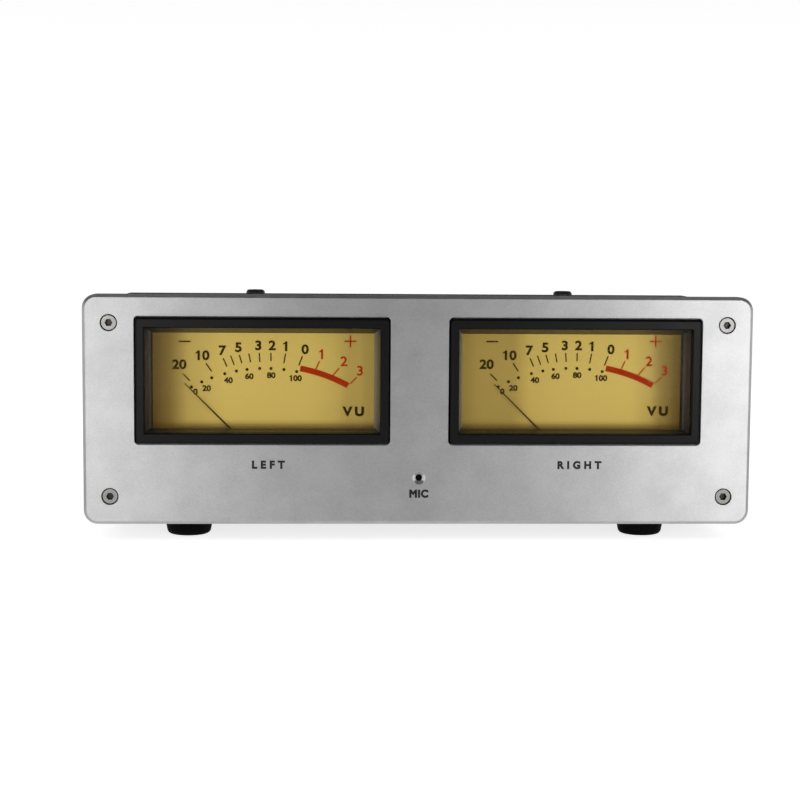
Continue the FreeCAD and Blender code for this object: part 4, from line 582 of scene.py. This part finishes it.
# The dial's layout in mm from the middle of the window, its angles in degrees clockwise from
# straight up. A tick is (outer end, inner end).
TICKS = [((-24.46, 1.21), (-22.41, -0.87)), ((-17.57, 4.45), (-15.88, 1.93)),
         ((-12.42, 5.98), (-11.29, 3.45)), ((-10.17, 6.8), (-9.1, 3.91)),
         ((-7.57, 7.02), (-6.79, 4.49)), ((-4.69, 7.39), (-4.16, 4.75)),
         ((-1.55, 7.65), (-1.37, 4.88)), ((1.96, 7.66), (1.96, 5.1)),
         ((6.37, 7.47), (5.83, 4.48)), ((11.45, 6.71), (10.34, 3.84))]
RED_TICKS = [((16.62, 5.19), (15.51, 2.74)), ((22.59, 3.1), (20.73, 0.97)),
             ((27.9, 0.36), (25.83, -1.67))]
NUMERALS = {"20": (-25.6, 4.09), "10": (-18.31, 6.83), "7": (-12.62, 8.35), "5": (-7.83, 9.28),
            "3": (-1.84, 9.9), "2": (2.35, 9.92), "1": (6.55, 9.64), "0": (12.26, 8.76)}
RED_NUMERALS = {"1": (17.37, 7.27), "2": (23.99, 5.19), "3": (28.83, 2.33)}
PERCENTS = {"0": (-20.75, -4.18), "20": (-17.4, -3.11), "40": (-10.85, -0.68), "60": (-4.55, 0.55),
            "80": (2.05, 0.88), "100": (9.56, 0.0)}
DOT_ANGLES = (-28.7, -24.4, -20.4, -15.3, -10.9, -6.9, -2.2, 2.0, 6.8, 11.6)
DOT_CENTRE, DOT_ARC = (0.36, -43.6), 46.55
PRINT_SHIFT = {"left": (0.24, 0.1), "right": (-0.36, 0.45)}
MINUS, PLUS, SIGN_ARM = (-23.97, 11.0), (25.92, 11.23), 1.8
BAND_CENTRE, BAND_RADIUS, BAND_THICKNESS = (1.8, -45.0), 48.8, 1.8
BAND_START, BAND_END = 10.6, 28.7
TICK_WIDTH, SIGN_WIDTH, DOT_RADIUS = 0.4, 0.48, 0.48
UNIT_SPOT = (26.9, -10.05)

# The type of each kind of word, in mm.
NUMERAL_TYPE = {"height": 3.0, "bold": 0.16, "stretch": 1.12}
PERCENT_TYPE = {"height": 1.85, "bold": 0.12, "stretch": 1.1}
RED_TYPE = {"height": 3.0, "bold": 0.1, "stretch": 1.1}
UNIT_TYPE = {"height": 3.0, "bold": 0.24, "spacing": 1.5, "stretch": 1.1}
LABEL_TYPE = {"height": 2.5, "bold": 0.18, "spacing": 1.7}
MIC_TYPE = {"height": 2.55, "bold": 0.2, "spacing": 1.12}
REAR_TYPE = {"height": 2.2, "bold": 0.05, "spacing": 1.1}

# Words, in mm from the middle of the front panel. At the rear they go by the middle of the part
# across, and by the middle of the phono sockets up.
PANEL_WORDS = (("LEFT", (-45.0, -16.3), LABEL_TYPE), ("RIGHT", (48.3, -16.3), LABEL_TYPE),
               ("MIC", (0.0, -25.0), MIC_TYPE))
REAR_WORDS = (("L", (-47, 10)), ("R", (-67, 10)), ("LINE", (26, 10)), ("MIC", (26, -11)),
              ("SENS", (-4, 11.5)), ("DC", (82, 10)))

# The controls' marks. The rocker's pivot is in metres and its slope in radians, and the rest in mm.
ROCKER_PIVOT, ROCKER_SLOPE = Vector((-58, 30.0, 39.9)) * MM, math.radians(9)
ROCKER_RISE, ROCKER_REACH = 4.4, 4.6
ROCKER_MARKS = (("rocker_on_mark", 1, [ribbon((0, -1.3), (0, 1.3), 0.5)]),
                ("rocker_off_mark", -1, arc_band((0, 0), 1.2, 0.45, 0, 360, 32)))
POINTER_DEPTH, POINTER_RISE, POINTER_HALF, POINTER_WIDTH = 0.3, 4.9, 1.85, 0.84
FELT_GAP, FELT_THICKNESS = 0.1, 0.12


def dot_spots():
    """The middles of the dots, on an arc of their own."""
    return [(DOT_CENTRE[0] + DOT_ARC * math.sin(math.radians(angle)),
             DOT_CENTRE[1] + DOT_ARC * math.cos(math.radians(angle))) for angle in DOT_ANGLES]


def front_of(name):
    """The middle of a node's front, with the axes of what is printed there."""
    low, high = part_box(name)
    return Matrix.Translation(((low.x + high.x) / 2, low.y, (low.z + high.z) / 2)) @ FRONT


def level_arm(middle):
    """The level stroke of a plus or minus sign."""
    return ribbon((middle[0] - SIGN_ARM, middle[1]), (middle[0] + SIGN_ARM, middle[1]), SIGN_WIDTH)


def print_dial(side):
    """The scales, numbers, signs and unit of one meter."""
    low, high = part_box(side + "_window")
    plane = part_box(side + "_dial_plate")[0].y
    place = Matrix.Translation(((low.x + high.x) / 2, plane, (low.z + high.z) / 2)) @ FRONT
    place = place @ Matrix.Translation(Vector(PRINT_SHIFT[side]).to_3d() * MM)
    dark = [ribbon(outer, inner, TICK_WIDTH) for outer, inner in TICKS]
    dark += [disc(spot, DOT_RADIUS) for spot in dot_spots()]
    dark.append(level_arm(MINUS))
    for text, spot in NUMERALS.items():
        dark += lettering(text, spot, **NUMERAL_TYPE)
    for text, spot in PERCENTS.items():
        dark += lettering(text, spot, **PERCENT_TYPE)
    dark += lettering("VU", UNIT_SPOT, **UNIT_TYPE)
    print_marks(side + "_dial_print", dark, place, DARK_INK, "chassis")
    red = [ribbon(outer, inner, TICK_WIDTH) for outer, inner in RED_TICKS]
    red += arc_band(BAND_CENTRE, BAND_RADIUS, BAND_THICKNESS, BAND_START, BAND_END)
    red.append(level_arm(PLUS))
    red.append(ribbon((PLUS[0], PLUS[1] - SIGN_ARM), (PLUS[0], PLUS[1] + SIGN_ARM), SIGN_WIDTH))
    for text, spot in RED_NUMERALS.items():
        red += lettering(text, spot, **RED_TYPE)
    print_marks(side + "_dial_red", red, place, RED_INK, "chassis")


def print_panel():
    """The words on the front panel."""
    words = []
    for text, spot, style in PANEL_WORDS:
        words += lettering(text, spot, **style)
    print_marks("panel_lettering", words, front_of("front_panel"), PANEL_INK, "chassis")


def cover_microphone():
    """The felt disc on the front of the capsule."""
    low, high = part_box("mic_capsule")
    radius = (high.x - low.x) / 2 / MM - FELT_GAP
    print_marks("mic_felt", [disc((0, 0), radius, 64)], front_of("mic_capsule"), FELT, "chassis",
                thickness=FELT_THICKNESS * MM)


def print_rear():
    """The words at the sockets and controls of the rear panel."""
    shells_low, shells_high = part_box("rca_shells")
    middle = (0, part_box("rear_panel")[1].y, (shells_low.z + shells_high.z) / 2)
    place = Matrix.Translation(middle) @ REAR
    words = []
    for text, spot in REAR_WORDS:
        words += lettering(text, spot, **REAR_TYPE)
    print_marks("rear_lettering", words, place, WHITE_INK, "chassis")


def print_controls():
    """The rocker's on and off marks, and the pointer in the knob's groove."""
    rest = Matrix.Translation(ROCKER_PIVOT) @ Matrix.Rotation(ROCKER_SLOPE, 4, "X")
    rise = ROCKER_RISE + ROCKER_REACH * math.tan(ROCKER_SLOPE)
    for name, way, shapes in ROCKER_MARKS:
        face = Matrix.Translation((0, rise * MM, way * ROCKER_REACH * MM))
        place = rest @ face @ Matrix.Rotation(-way * ROCKER_SLOPE, 4, "X") @ REAR
        print_marks(name, shapes, place, WHITE_INK, "rocker")
    low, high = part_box("sensitivity_knob")
    groove = Matrix.Translation(((low.x + high.x) / 2, high.y - POINTER_DEPTH * MM,
                                 (low.z + high.z) / 2 + POINTER_RISE * MM))
    pointer = ribbon((0, -POINTER_HALF), (0, POINTER_HALF), POINTER_WIDTH)
    print_marks("knob_pointer", [pointer], groove @ REAR, WHITE_INK, "knob")


# ---------------------------------------------------------------- the scene

bpy.context.scene.view_settings.view_transform = "Standard"
add_camera()
add_world()
add_floor()
add_lights()
add_card()
paint_nodes()
print_dial("left")
print_dial("right")
print_panel()
cover_microphone()
print_rear()
print_controls()
